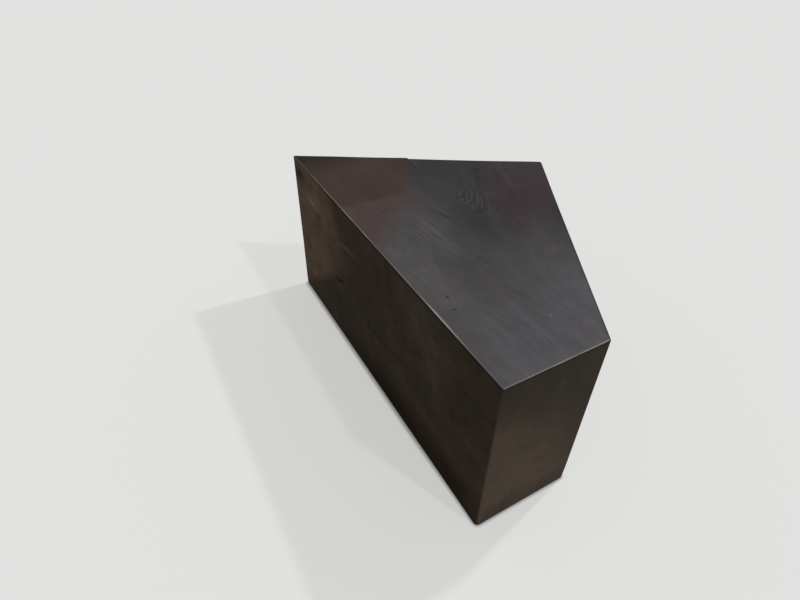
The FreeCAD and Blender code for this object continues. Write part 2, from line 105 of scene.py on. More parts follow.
@dataclass(frozen=True)
class TablePlan:
    """The kite-shaped plan and the heights of the table, in metres and degrees.

    Plan points are worked out with the sharp corner at the origin and the long side along +X. The wear of
    each corner is what it adds to the radius, and how far it reaches from the floor or the top. The sharp
    corner is crisper at the foot, the others are rounder there, and the back one also at the top.
    """

    back_left: float = 0.708
    back_right: float = 0.726
    sharp_angle: float = 60.0
    height: float = 0.457
    board: float = 0.028
    foot: float = 0.0015
    corner_radius: float = 0.003
    arris_radius: float = 0.002
    foot_radius: float = 0.0015
    top_glue_line: float = 0.280
    side_glue_line: float = 0.345
    foot_wear: tuple[Pair, ...] = ((-0.0026, 0.16), (0.006, 0.03), (0.006, 0.03), (0.004, 0.03))
    head_wear: tuple[Pair, ...] = ((0.0, 1.0), (0.0, 1.0), (0.0, 1.0), (0.004, 0.06))

    @property
    def sine(self) -> float:
        """Sine of the sharp corner."""
        return math.sin(math.radians(self.sharp_angle))

    @property
    def cosine(self) -> float:
        """Cosine of the sharp corner."""
        return math.cos(math.radians(self.sharp_angle))

    @property
    def long_side(self) -> float:
        """Length of the long side before rounding."""
        return self.back_left * self.cosine + self.back_right * self.sine

    @property
    def short_end(self) -> float:
        """Length of the short end before rounding."""
        return self.back_left * self.sine - self.back_right * self.cosine

    def corner(self, corner: Corner) -> Array:
        """Gives the plan point of a corner before rounding."""
        far, back = self.long_side, (self.back_left * self.cosine, self.back_left * self.sine)
        return np.array(((0.0, 0.0), (far, 0.0), (far, self.short_end), back)[corner.value])

    def half_angle(self, corner: Corner) -> float:
        """Gives half the inside angle of a corner, in radians."""
        angles = (self.sharp_angle, 90.0, 180.0 - self.sharp_angle, 90.0)
        return math.radians(angles[corner.value]) / 2

    def heading(self, side: Side) -> float:
        """Gives the plan direction in which a side runs, in radians."""
        turns = (0.0, 90.0, 90.0 + self.sharp_angle, 180.0 + self.sharp_angle)
        return math.radians(turns[side.value])

    def rounding(self, corner: Corner, level: float | Array) -> Array:
        """Gives the radius of an upright corner at heights: the drawn one, and its wear as two bells."""
        (low, up), (high, down) = self.foot_wear[corner.value], self.head_wear[corner.value]
        return self.corner_radius + low * bell(level, 0.0, up) + high * bell(level, self.height, down)

    def rounding_centre(self, corner: Corner, radius: float) -> Array:
        """Gives the centre of a rounding: along the bisector by the radius over the sine of half the angle.

        Args:
            corner: Which corner.
            radius: Its radius.

        Returns:
            The plan point of the centre.
        """
        half = self.half_angle(corner)
        turn = self.heading(Side(corner.value)) + half
        return self.corner(corner) + radius / math.sin(half) * np.array([math.cos(turn), math.sin(turn)])

    def top_rounding(self, corner: Corner) -> tuple[Array, float]:
        """Gives the centre and the radius of a corner's rounding at the top."""
        radius = float(self.rounding(corner, self.height))
        return self.rounding_centre(corner, radius), radius

    @cached_property
    def centre(self) -> Array:
        """Middle of the box round the rounded plan, which is the origin of the shared frame."""
        low = self.rounding_centre(Corner.SHARP, self.corner_radius)[0] - self.corner_radius
        high = self.rounding_centre(Corner.BACK, self.corner_radius)[1] + self.corner_radius
        return np.array([(low + self.long_side) / 2, high / 2])

    def spot(self, x: float, y: float, z: float) -> Point:
        """Gives a plan point and a height in the shared frame."""
        return (x - float(self.centre[0]), y - float(self.centre[1]), z)

    def into_frame(self, x: Array, y: Array, z: Array) -> Array:
        """Puts arrays of plan points and heights into the shared frame, with a last axis of three."""
        return np.stack([x - self.centre[0], y - self.centre[1], z], axis=-1)

    def side_distances(self, x: Array, y: Array) -> Array:
        """Gives how far plan points lie inside the line of each side."""
        back_right = self.back_left - x * self.cosine - y * self.sine
        return np.stack([y, self.long_side - x, back_right, x * self.sine - y * self.cosine])

    def inside_distance(self, x: Array, y: Array) -> Array:
        """Measures how far plan points lie inside the rounded outline.

        The distance is the least of those to the four side lines. Between the two tangent points of a
        rounded corner, it is the radius less the distance to the rounding's centre.

        Args:
            x: Plan x of the points.
            y: Plan y of the points.

        Returns:
            The distances, of the same shape.
        """
        distance = self.side_distances(x, y).min(axis=0)
        for corner in Corner:
            centre, radius = self.top_rounding(corner)
            a, b = x - centre[0], y - centre[1]
            after, before = (self.heading(Side((corner.value - back) % 4)) for back in (0, 1))
            back_off = a * math.cos(after) + b * math.sin(after)
            run_on = a * math.cos(before) + b * math.sin(before)
            distance = np.where((back_off < 0) & (run_on > 0), radius - np.hypot(a, b), distance)
        return distance


PLAN = TablePlan()


@dataclass(frozen=True)
class Mark:
    """A soft-edged mark on a board's face: a knot, a pit, a streak, a fleck, a painted highlight or a painted
    shadow.

    Attributes:
        centre: Place on the face, in metres: along and up on a side, plan x and y on the top.
        size: Half length and half width.
        turn: Angle of its length, in degrees.
        depth: How far its middle is sunk.
        dark: How dark its middle is, 0 to 1.
        pale: How pale its middle is, 0 to 1.
        figure: How strongly the grain shows in its middle, 0 to 1.
    """

    centre: Pair
    size: Pair
    turn: float = 0.0
    depth: float = 0.0
    dark: float = 0.0
    pale: float = 0.0
    figure: float = 0.0

    def strength(self, a: Array, b: Array) -> Array:
        """Works out the mark over a face: a bell of each turned offset from its centre over the half size.

        Args:
            a: First face coordinate.
            b: Second face coordinate.

        Returns:
            Strength from 0 to 1, of the same shape.
        """
        turn = math.radians(self.turn)
        a, b = a - self.centre[0], b - self.centre[1]
        along, across = a * math.cos(turn) + b * math.sin(turn), b * math.cos(turn) - a * math.sin(turn)
        return bell(along, 0.0, self.size[0]) * bell(across, 0.0, self.size[1])


@dataclass(frozen=True)
class Check:
    """A hairline drying check in a side board: a groove along a broken line.

    Attributes:
        line: Points of the line, along and up, in metres.
        width: Half width of the groove.
        depth: Depth of the groove at its middle.
        spread: How far above and below the mesh rows bend to follow it.
        closing: Length over which it closes at each end.
    """

    line: tuple[Pair, ...]
    width: float = 0.0011
    depth: float = 0.0022
    spread: float = 0.055
    closing: float = 0.05

    @property
    def level(self) -> float:
        """Mean height of the line."""
        return float(np.mean([point[1] for point in self.line]))

    def height_at(self, along: Array) -> Array:
        """Gives the height of the line at places along the side."""
        return np.interp(along, *zip(*self.line))

    def rows(self) -> Array:
        """Gives the heights of extra mesh rows close to the line."""
        offsets = np.array([0.0, 0.0006, 0.0011, 0.0018, 0.003])
        return self.level + np.concatenate([-offsets[1:], offsets])

    def bend(self, along: Array, height: Array) -> Array:
        """Bends level rows onto the line: by its rise, times a bell of their distance from its mean."""
        return height + (self.height_at(along) - self.level) * bell(height, self.level, self.spread)

    def strength(self, along: Array, height: Array) -> Array:
        """Gives the groove's share of its depth: a tent across the line, closing at both ends."""
        inside = rise(along, self.line[0][0], self.closing) * rise(-along, -self.line[-1][0], self.closing)
        return inside * np.clip(1 - np.abs(height - self.height_at(along)) / self.width, 0, 1)


class Graph:
    """The node tree of a material or the world, with a short call for each kind of node."""

    def __init__(self, owner: bpy.types.Material | bpy.types.World, ending: str = "OutputMaterial") -> None:
        """Empties the owner's tree and adds its output.

        Args:
            owner: The material or world.
            ending: Kind of its output node.
        """
        owner.use_nodes = True
        self.owner = owner
        self.tree = owner.node_tree
        self.tree.nodes.clear()
        self.ending = self.node(ending)

    @cached_property
    def coordinates(self) -> Socket:
        """Object coordinates."""
        return self.node("TexCoord").outputs["Object"]

    def node(self, kind: str, *values: object, **settings: object) -> bpy.types.Node:
        """Adds a node.

        Args:
            kind: Blender's name for it, after the word ShaderNode.
            *values: What its first inputs get.
            **settings: Its properties.

        Returns:
            The node.
        """
        made = self.tree.nodes.new(f"ShaderNode{kind}")
        for key, value in settings.items():
            setattr(made, key, value)
        for socket, value in zip(made.inputs, values):
            self.feed(socket, value)
        return made

    def feed(self, socket: Socket, value: object) -> None:
        """Links an input to an output, or sets its number, vector or colour.

        Args:
            socket: The input.
            value: What it gets.
        """
        if isinstance(value, Socket):
            self.tree.links.new(value, socket)
        else:
            socket.default_value = (*value, 1.0) if socket.type == "RGBA" else value

    def math(self, operation: str, *values: object, clamp: bool = False) -> Socket:
        """Adds a Math node, kept between 0 and 1 where it is clamped."""
        return self.node("Math", *values, operation=operation, use_clamp=clamp).outputs[0]

    def vector(self, operation: str, *values: object) -> Socket:
        """Adds a Vector Math node and gives its number where it measures, else its vector."""
        made = self.node("VectorMath", *values, operation=operation)
        return made.outputs[1 if operation in ("DOT_PRODUCT", "DISTANCE", "LENGTH") else 0]

    def noise(self, place: Socket, scale: float, detail: float) -> Socket:
        """Gives noise about 0.5, with so many cells to the metre and so many octaves."""
        return self.node("TexNoise", place, 0.0, scale, detail).outputs[0]

    def streaks(self, place: Socket, cells: Point, detail: float) -> Socket:
        """Gives noise about 0.5, with its own number of cells to the metre along each axis."""
        return self.noise(self.vector("MULTIPLY", place, cells), 1.0, detail)

    def about(self, noise: Socket, times: object, base: object = 0.0, clamp: bool = False) -> Socket:
        """Adds to a base how far a noise is above 0.5, times a number."""
        return self.math("MULTIPLY_ADD", self.math("SUBTRACT", noise, 0.5), times, base, clamp=clamp)

    def ramp(self, value: Socket, low: float, high: float, start: float = 0.0, end: float = 1.0) -> Socket:
        """Maps a range smoothly onto another one, from 0 to 1 unless it is given."""
        made = self.node("MapRange", value, low, high, start, end, interpolation_type="SMOOTHSTEP")
        return made.outputs[0]

    def off_axis(self, place: Socket) -> Socket:
        """Gives the distance from the x axis."""
        return self.vector("LENGTH", self.vector("MULTIPLY", place, (0.0, 1.0, 1.0)))

    def blend(self, share: object, first: object, second: object, mode: str = "MIX") -> Socket:
        """Mixes two colours.

        Args:
            share: Share of the second one.
            first: First colour.
            second: Second colour.
            mode: How they are mixed.

        Returns:
            The colour.
        """
        made = self.node("Mix", share, data_type="RGBA", blend_type=mode)
        self.feed(made.inputs[6], first)
        self.feed(made.inputs[7], second)
        return made.outputs[2]

    def times(self, first: object, second: object) -> Socket:
        """Multiplies two colours."""
        return self.blend(1.0, first, second, "MULTIPLY")

    def placed(self, origin: Point, turn: Point) -> Socket:
        """Gives Object coordinates from an origin, along axes turned by Euler angles in degrees."""
        angles = tuple(math.radians(angle) for angle in turn)
        return self.node("Mapping", self.coordinates, origin, angles, vector_type="TEXTURE").outputs[0]

    def attribute(self, name: str) -> Socket:
        """Gives a mesh attribute's number."""
        return self.node("Attribute", attribute_name=name).outputs["Fac"]

    def seen(self) -> Socket:
        """Adds a switch for the rays that see a backdrop.

        Returns:
            1 for what is seen directly, in a gloss or through glass, else 0.
        """
        rays = self.node("LightPath").outputs
        near = self.math("MAXIMUM", rays["Is Camera Ray"], rays["Is Glossy Ray"])
        return self.math("MAXIMUM", near, rays["Is Transmission Ray"])

    def close(self, shader: bpy.types.Node) -> bpy.types.Material | bpy.types.World:
        """Ends the tree in a shader and gives its owner."""
        self.feed(self.ending.inputs["Surface"], shader.outputs[0])
        return self.owner

    def surface(self, colour: object, roughness: object, height: object, relief: float,
                specular: float, metallic: float = 0.0) -> bpy.types.Material:
        """Ends the tree in a Principled shader.

        Args:
            colour: Base colour.
            roughness: Roughness.
            height: Bump height from 0 to 1.
            relief: Bump height in metres.
            specular: Specular level, the same all over.
            metallic: Metallic value, the same all over.

        Returns:
            The material.
        """
        bump = self.node("Bump", 1.0, relief)
        self.feed(bump.inputs["Height"], height)
        shader = self.node("BsdfPrincipled", colour, metallic, roughness)
        self.feed(shader.inputs["Specular IOR Level"], specular)
        self.feed(shader.inputs["Normal"], bump.outputs[0])
        return self.close(shader)


@dataclass(frozen=True)
class Log:
    """How a board lay in its log.

    Attributes:
        pith: A point on the log's axis, in metres.
        turn: Euler angles that bring +X onto the log's axis, in degrees.
        ring: Mean width of a growth ring.
        sway: How far the growth wanders, in metres.
    """

    pith: Point
    turn: Point
    ring: float = 0.006
    sway: float = 0.03


@dataclass(frozen=True)
class Border:
    """A straight border across which a tone grows.

    Attributes:
        point: Where the tone starts, in metres.
        way: Unit direction in which it grows.
        reach: Distance over which it grows to its full strength.
    """

    point: Point
    way: Point
    reach: float


@dataclass(frozen=True)
class Zone:
    """A part of a board with a tone of its own, inside one border or several: some took the stain
    differently, some are painted shade, sheen or reflection.

    Attributes:
        tone: Colour of that part.
        borders: Its borders.
        drift: How far its borders wander.
        either: Whether one border is enough to be inside; else all of them count.
    """

    tone: Colour
    borders: tuple[Border, ...]
    drift: float
    either: bool = False

    def share(self, graph: Graph, wander: Socket) -> Socket:
        """Gives how far a point is inside, from 0 to 1.

        The shares of the borders are multiplied; with `either`, the shares left outside them are.

        Args:
            graph: The material's tree.
            wander: Noise that moves the borders.

        Returns:
            The share.
        """
        total: object = 1.0
        for border in self.borders:
            offset = graph.vector("SUBTRACT", graph.coordinates, border.point)
            away = graph.about(wander, self.drift * 2, graph.vector("DOT_PRODUCT", offset, border.way))
            part = graph.ramp(away, 0.0, border.reach)
            total = graph.math("MULTIPLY", total, graph.math("SUBTRACT", 1.0, part) if self.either else part)
        return graph.math("SUBTRACT", 1.0, total) if self.either else total


@dataclass(frozen=True)
class StainedWood:
    """Dark stained timber with growth rings, fibres, pores, worn arrises, painted highlights and painted
    shade.

    Attributes:
        name: Name of the material.
        log: How the board lay in its log.
        tone: Mean colour.
        zones: Parts with a tone of their own, the last one on top.
        contrast: How far the figure swings about the mean.
        cloud: How far the stain is clouded about the mean.
        roughness: Mean roughness.
        specular: Specular level.
        branch: The branch whose rings show in the figure, if they aren't the log's own.
        pale: What pale marks and painted highlights multiply the colour by.
        worn_and_glint: Colour of worn arrises and of their painted highlight.
        deep_and_shade: Colour of dark marks and of painted shade.
        relief: Height of the fibres.
    """

    name: str
    log: Log
    tone: Colour
    zones: tuple[Zone, ...] = ()
    contrast: float = 0.30
    cloud: float = 0.60
    roughness: float = 0.55
    specular: float = 0.02
    branch: Log | None = None
    pale: Colour = (3.2, 3.1, 3.0)
    worn_and_glint: Colour = (0.34, 0.325, 0.30)
    deep_and_shade: Colour = (0.006, 0.005, 0.004)
    relief: float = 0.00018

    def figure(self, graph: Graph) -> tuple[Socket, Socket, Socket]:
        """Draws the grain.

        Growth lines are noise over the distance from the log's or branch's axis, in rings, bent by a slow
        wander, so that their widths differ. Fibres and pores are noise drawn out along the axis. The lines
        and fibres stand out where the figure is marked. Clouds of stain and a fine mottle lie over them.

        Args:
            graph: The material's tree.

        Returns:
            What the colour is multiplied by, about 1; the fibres; and the pores.
        """
        log = graph.placed(self.log.pith, self.log.turn)
        source = self.branch or self.log
        ringed = graph.placed(source.pith, source.turn)
        wander = graph.about(graph.streaks(ringed, (2.0, 7.0, 7.0), 3.0), source.sway, graph.off_axis(ringed))
        along = graph.math("MULTIPLY", graph.node("SeparateXYZ", ringed).outputs[0], 2.4)
        lane = graph.node("CombineXYZ", along, graph.math("MULTIPLY", wander, 1 / source.ring))
        growth = graph.noise(lane.outputs[0], 1.0, 3.0)
        fibre = graph.streaks(log, (9.0, 190.0, 190.0), 4.0)
        pore = graph.ramp(graph.streaks(log, (40.0, 1100.0, 1100.0), 1.0), 0.60, 0.70)
        shown = graph.attribute("figure")
        lines = graph.about(growth, graph.ramp(shown, 0.0, 1.0, 0.5, 6.5))
        grain = graph.about(fibre, graph.ramp(shown, 0.0, 1.0, 0.55, 4.4), lines)
        swing = graph.math("MULTIPLY_ADD", grain, self.contrast * 1.5, 1.0)
        for cloud in (graph.streaks(log, (3.0, 14.0, 14.0), 3.0), graph.noise(graph.coordinates, 22.0, 5.0)):
            swing = graph.about(cloud, self.cloud * 1.5, swing)
        swing = graph.math("MULTIPLY_ADD", pore, -0.18, swing)
        swing = graph.about(graph.streaks(log, (22.0, 80.0, 80.0), 3.0), self.contrast * 1.1, swing)
        return graph.math("MAXIMUM", swing, 0.25), fibre, pore

    def material(self) -> bpy.types.Material:
        """Builds the finish.

        The tone of the place, with a slow drift between warm and cool, is multiplied by the grain. Pale
        marks and painted highlights, worn arrises with a painted highlight, and dark marks with painted
        shade are laid over it.

        Returns:
            The material.
        """
        graph = Graph(bpy.data.materials.new(self.name))
        swing, fibre, pore = self.figure(graph)
        wander = graph.noise(graph.coordinates, 13.0, 5.0)
        colour: object = self.tone
        for zone in self.zones:
            colour = graph.blend(zone.share(graph, wander), colour, zone.tone)
        drift = graph.ramp(graph.noise(graph.coordinates, 17.0, 3.0), 0.3, 0.7)
        colour = graph.times(colour, graph.blend(drift, (1.02, 0.997, 0.985), (0.98, 1.003, 1.015)))
        colour = graph.times(colour, graph.node("CombineColor", swing, swing, swing).outputs[0])
        # Pale layer: flecks and streaks in the wood, and painted highlights at the seam step and the corners.
        colour = graph.blend(graph.attribute("pale"), colour, graph.times(colour, self.pale))
        # Worn arrises, with a painted highlight over their wear.
        patchy = graph.ramp(graph.noise(graph.coordinates, 16.0, 4.0), 0.36, 0.64, 0.45, 1.0)
        colour = graph.blend(graph.math("MULTIPLY", graph.attribute("wear_and_glint"), patchy), colour, self.worn_and_glint)
        # Dark layer: knots and pits, and painted shade under arrises, along back edges, in the check and at
        # the seam step.
        colour = graph.blend(graph.attribute("dark"), colour, self.deep_and_shade)
        rough = graph.math("MULTIPLY_ADD", pore, 0.1, graph.about(fibre, 0.2, self.roughness), clamp=True)
        height = graph.math("MULTIPLY_ADD", pore, -0.6, fibre)
        return graph.surface(colour, rough, height, self.relief, self.specular)


@dataclass(frozen=True)
class RawTimber:
    """Unfinished timber inside the case: plain long grain with soft rings.

    Attributes:
        name: Name of the material.
        turn: Euler angles that bring +X onto the grain, in degrees.
        dark: Colour of the late wood.
        light: Colour of the early wood.
        pith: A point on the far axis of the rings, in metres.
    """

    name: str
    turn: Point
    dark: Colour = (0.30, 0.19, 0.10)
    light: Colour = (0.50, 0.36, 0.22)
    pith: Point = (0.03, 0.21, -0.09)

    def material(self) -> bpy.types.Material:
        """Builds the finish from noise drawn out along the grain and rings about the axis.

        Returns:
            The material.
        """
        graph = Graph(bpy.data.materials.new(self.name))
        grain = graph.placed(self.pith, self.turn)
        sway = graph.math("MULTIPLY", graph.streaks(grain, (3.0, 12.0, 12.0), 2.0), 1.6)
        phase = graph.math("FRACT", graph.math("MULTIPLY_ADD", graph.off_axis(grain), 220.0, sway))
        fibre = graph.streaks(grain, (8.0, 420.0, 420.0), 4.0)
        tone = graph.math("MULTIPLY_ADD", graph.ramp(phase, 0.2, 0.9), -0.45, 0.75)
        colour = graph.blend(graph.about(fibre, 1.1, tone, clamp=True), self.dark, self.light)
        rough = graph.math("MULTIPLY_ADD", fibre, 0.2, 0.6, clamp=True)
        return graph.surface(colour, rough, fibre, 0.0002, 0.25)


@dataclass(frozen=True)
class ZincSteel:
    """Zinc-plated steel of the screws."""

    name: str = "zinc_steel"
    colour: Colour = (0.58, 0.58, 0.56)
    bright: Colour = (0.72, 0.71, 0.66)

    def material(self) -> bpy.types.Material:
        """Builds the finish: a metal whose tone and roughness follow a fine noise.

        Returns:
            The material.
        """
        graph = Graph(bpy.data.materials.new(self.name))
        grains = graph.noise(graph.coordinates, 420.0, 3.0)
        colour = graph.blend(graph.ramp(grains, 0.35, 0.65), self.colour, self.bright)
        return graph.surface(colour, graph.ramp(grains, 0.3, 0.7, 0.28, 0.46), grains, 0.00005, 0.5, 1.0)


@dataclass(frozen=True)
class Nylon:
    """Off-black moulded nylon of the floor glides."""

    name: str = "glide_nylon"
    colour: Colour = (0.05, 0.05, 0.052)
    scuffed: Colour = (0.11, 0.11, 0.11)

    def material(self) -> bpy.types.Material:
        """Builds the finish: a dull plastic with a fine moulded grain and faint scuffs.

        Returns:
            The material.
        """
        graph = Graph(bpy.data.materials.new(self.name))
        grain = graph.noise(graph.coordinates, 900.0, 2.0)
        scuff = graph.ramp(graph.noise(graph.coordinates, 60.0, 4.0), 0.55, 0.75)
        rough = graph.math("MULTIPLY_ADD", scuff, 0.2, 0.42)
        return graph.surface(graph.blend(scuff, self.colour, self.scuffed), rough, grain, 0.00008, 0.4)


def grid_quads(rows: int, columns: int, start: int) -> Array:
    """Lists the quads of a grid whose points are numbered row by row.

    Args:
        rows: Number of rows.
        columns: Number of points in a row.
        start: Number of the first point.

    Returns:
        An array of four point numbers for each quad.
    """
    first = start + np.arange(rows - 1)[:, None] * columns + np.arange(columns - 1)[None, :]
    first = first.ravel()
    return np.stack([first, first + columns, first + columns + 1, first + 1], axis=1)


def stand(name: str, data: bpy.types.ID) -> bpy.types.Object:
    """Makes an object of a mesh, lamp or camera and puts it in the scene.

    Args:
        name: Name of the object.
        data: What it shows.

    Returns:
        The object.
    """
    piece = bpy.data.objects.new(name, data)
    bpy.context.scene.collection.objects.link(piece)
    return piece


def closed_shell(name: str, outer: Array, inner: Array, layers: dict[str, Array]) -> bpy.types.Object:
    """Makes a closed board from an outside grid and an inside grid of the same shape.

    The two grids are joined by a strip of quads round their rims. The winding is turned if the volume,
    a sixth of the sum of the triple products of the triangles, comes out negative.

    Args:
        name: Name of the piece.
        outer: Outside points, of shape (rows, columns, 3).
        inner: Inside points, of the same shape.
        layers: Numbers for the outside points, kept as attributes.

    Returns:
        The object.
    """
    rows, columns = outer.shape[:2]
    total = rows * columns
    points = np.concatenate([outer.reshape(-1, 3), inner.reshape(-1, 3)])
    number = np.arange(total).reshape(rows, columns)
    rim = np.concatenate([number[0, :-1], number[:-1, -1], number[-1, :0:-1], number[:0:-1, 0]])
    after = np.roll(rim, -1)
    quads = np.concatenate([
        grid_quads(rows, columns, 0),
        grid_quads(rows, columns, total)[:, ::-1],
        np.stack([rim, after, after + total, rim + total], axis=1),
    ])
    corners = points[quads]
    triples = np.concatenate([corners[:, (0, 1, 2)], corners[:, (0, 2, 3)]])
    volume = np.einsum("ij,ij->i", triples[:, 0], np.cross(triples[:, 1], triples[:, 2])).sum() / 6
    if volume < 0:
        quads = quads[:, ::-1]
    mesh = bpy.data.meshes.new(name)
    mesh.vertices.add(len(points))
    mesh.vertices.foreach_set("co", points.astype(np.float32).ravel())
    mesh.loops.add(quads.size)
    mesh.loops.foreach_set("vertex_index", np.ascontiguousarray(quads).astype(np.int32).ravel())
    mesh.polygons.add(len(quads))
    mesh.polygons.foreach_set("loop_start", np.arange(0, quads.size, 4, dtype=np.int32))
    mesh.update(calc_edges=True)
    mesh.polygons.foreach_set("use_smooth", np.ones(len(quads), dtype=bool))
    mesh.set_sharp_from_angle(angle=SMOOTH_BEND)
    for key, numbers in layers.items():
        padded = np.concatenate([numbers.ravel(), np.zeros(total)])
        mesh.attributes.new(key, "FLOAT", "POINT").data.foreach_set("value", padded.astype(np.float32))
    return stand(name, mesh)


def marked(marks: tuple[Mark, ...], a: Array, b: Array) -> tuple[Array, dict[str, Array]]:
    """Adds up the marks of a face.

    Args:
        marks: The marks.
        a: First face coordinate of the points.
        b: Second face coordinate of the points.

    Returns:
        Sunk depth at the points, and their darkness, paleness and figure by name.
    """
    depth = np.zeros_like(a)
    layers = {key: np.zeros_like(a) for key in ("dark", "pale", "figure")}
    for mark in marks:
        strength = mark.strength(a, b)
        depth = depth + mark.depth * strength
        for key in layers:
            layers[key] = np.maximum(layers[key], getattr(mark, key) * strength)
    return depth, layers


@dataclass(frozen=True)
class Cupping:
    """How far the boards of the top have cupped up behind, in metres.

    Attributes:
        edge: Lift of the front board along the back left edge.
        growth: Where that lift starts, from the long side, and the length over which it grows.
        seam: What it gains at the glue line, and the reach of that swell.
        fade: Distance from the edge over which it falls off.
        tip: Lift of the back board at the back corner, and its reach.
    """

    edge: float = 0.0011
    growth: Pair = (0.02, 0.08)
    seam: Pair = (0.0017, 0.06)
    fade: float = 0.045
    tip: Pair = (0.0025, 0.13)

    def lift(self, x: Array, y: Array, front: bool | Array) -> Array:
        """Gives the lift at plan points.

        The front board's falls off as an exponential of the distance from the back left edge, and swells by
        a bell at the glue line. The back board's is a bell about the back corner.

        Args:
            x: Plan x of the points.
            y: Plan y of the points.
            front: Whether they lie on the front board.

        Returns:
            The lift, of the same shape.
        """
        away = np.clip(PLAN.side_distances(x, y)[Side.BACK_LEFT.value], 0, None)
        swell = self.edge * rise(y, *self.growth) + self.seam[0] * bell(y, PLAN.top_glue_line, self.seam[1])
        back = PLAN.corner(Corner.BACK)
        tip = self.tip[0] * bell(np.hypot(x - back[0], y - back[1]), 0.0, self.tip[1])
        return np.where(front, swell * np.exp(-away / self.fade), tip)


CUPPING = Cupping()


def planed(a: Array, b: Array, seed: float) -> Array:
    """Gives the depth of the marks of a hand plane: three crossed sine waves about a mean."""
    wave = np.sin(a * 23.0 + b * 7.0 + seed) + 0.7 * np.sin(a * 9.0 - b * 41.0 + 2.1 * seed)
    return PLANED_SWING * (wave + 0.5 * np.sin(a * 61.0 + b * 29.0 + 3.7 * seed)) + PLANED


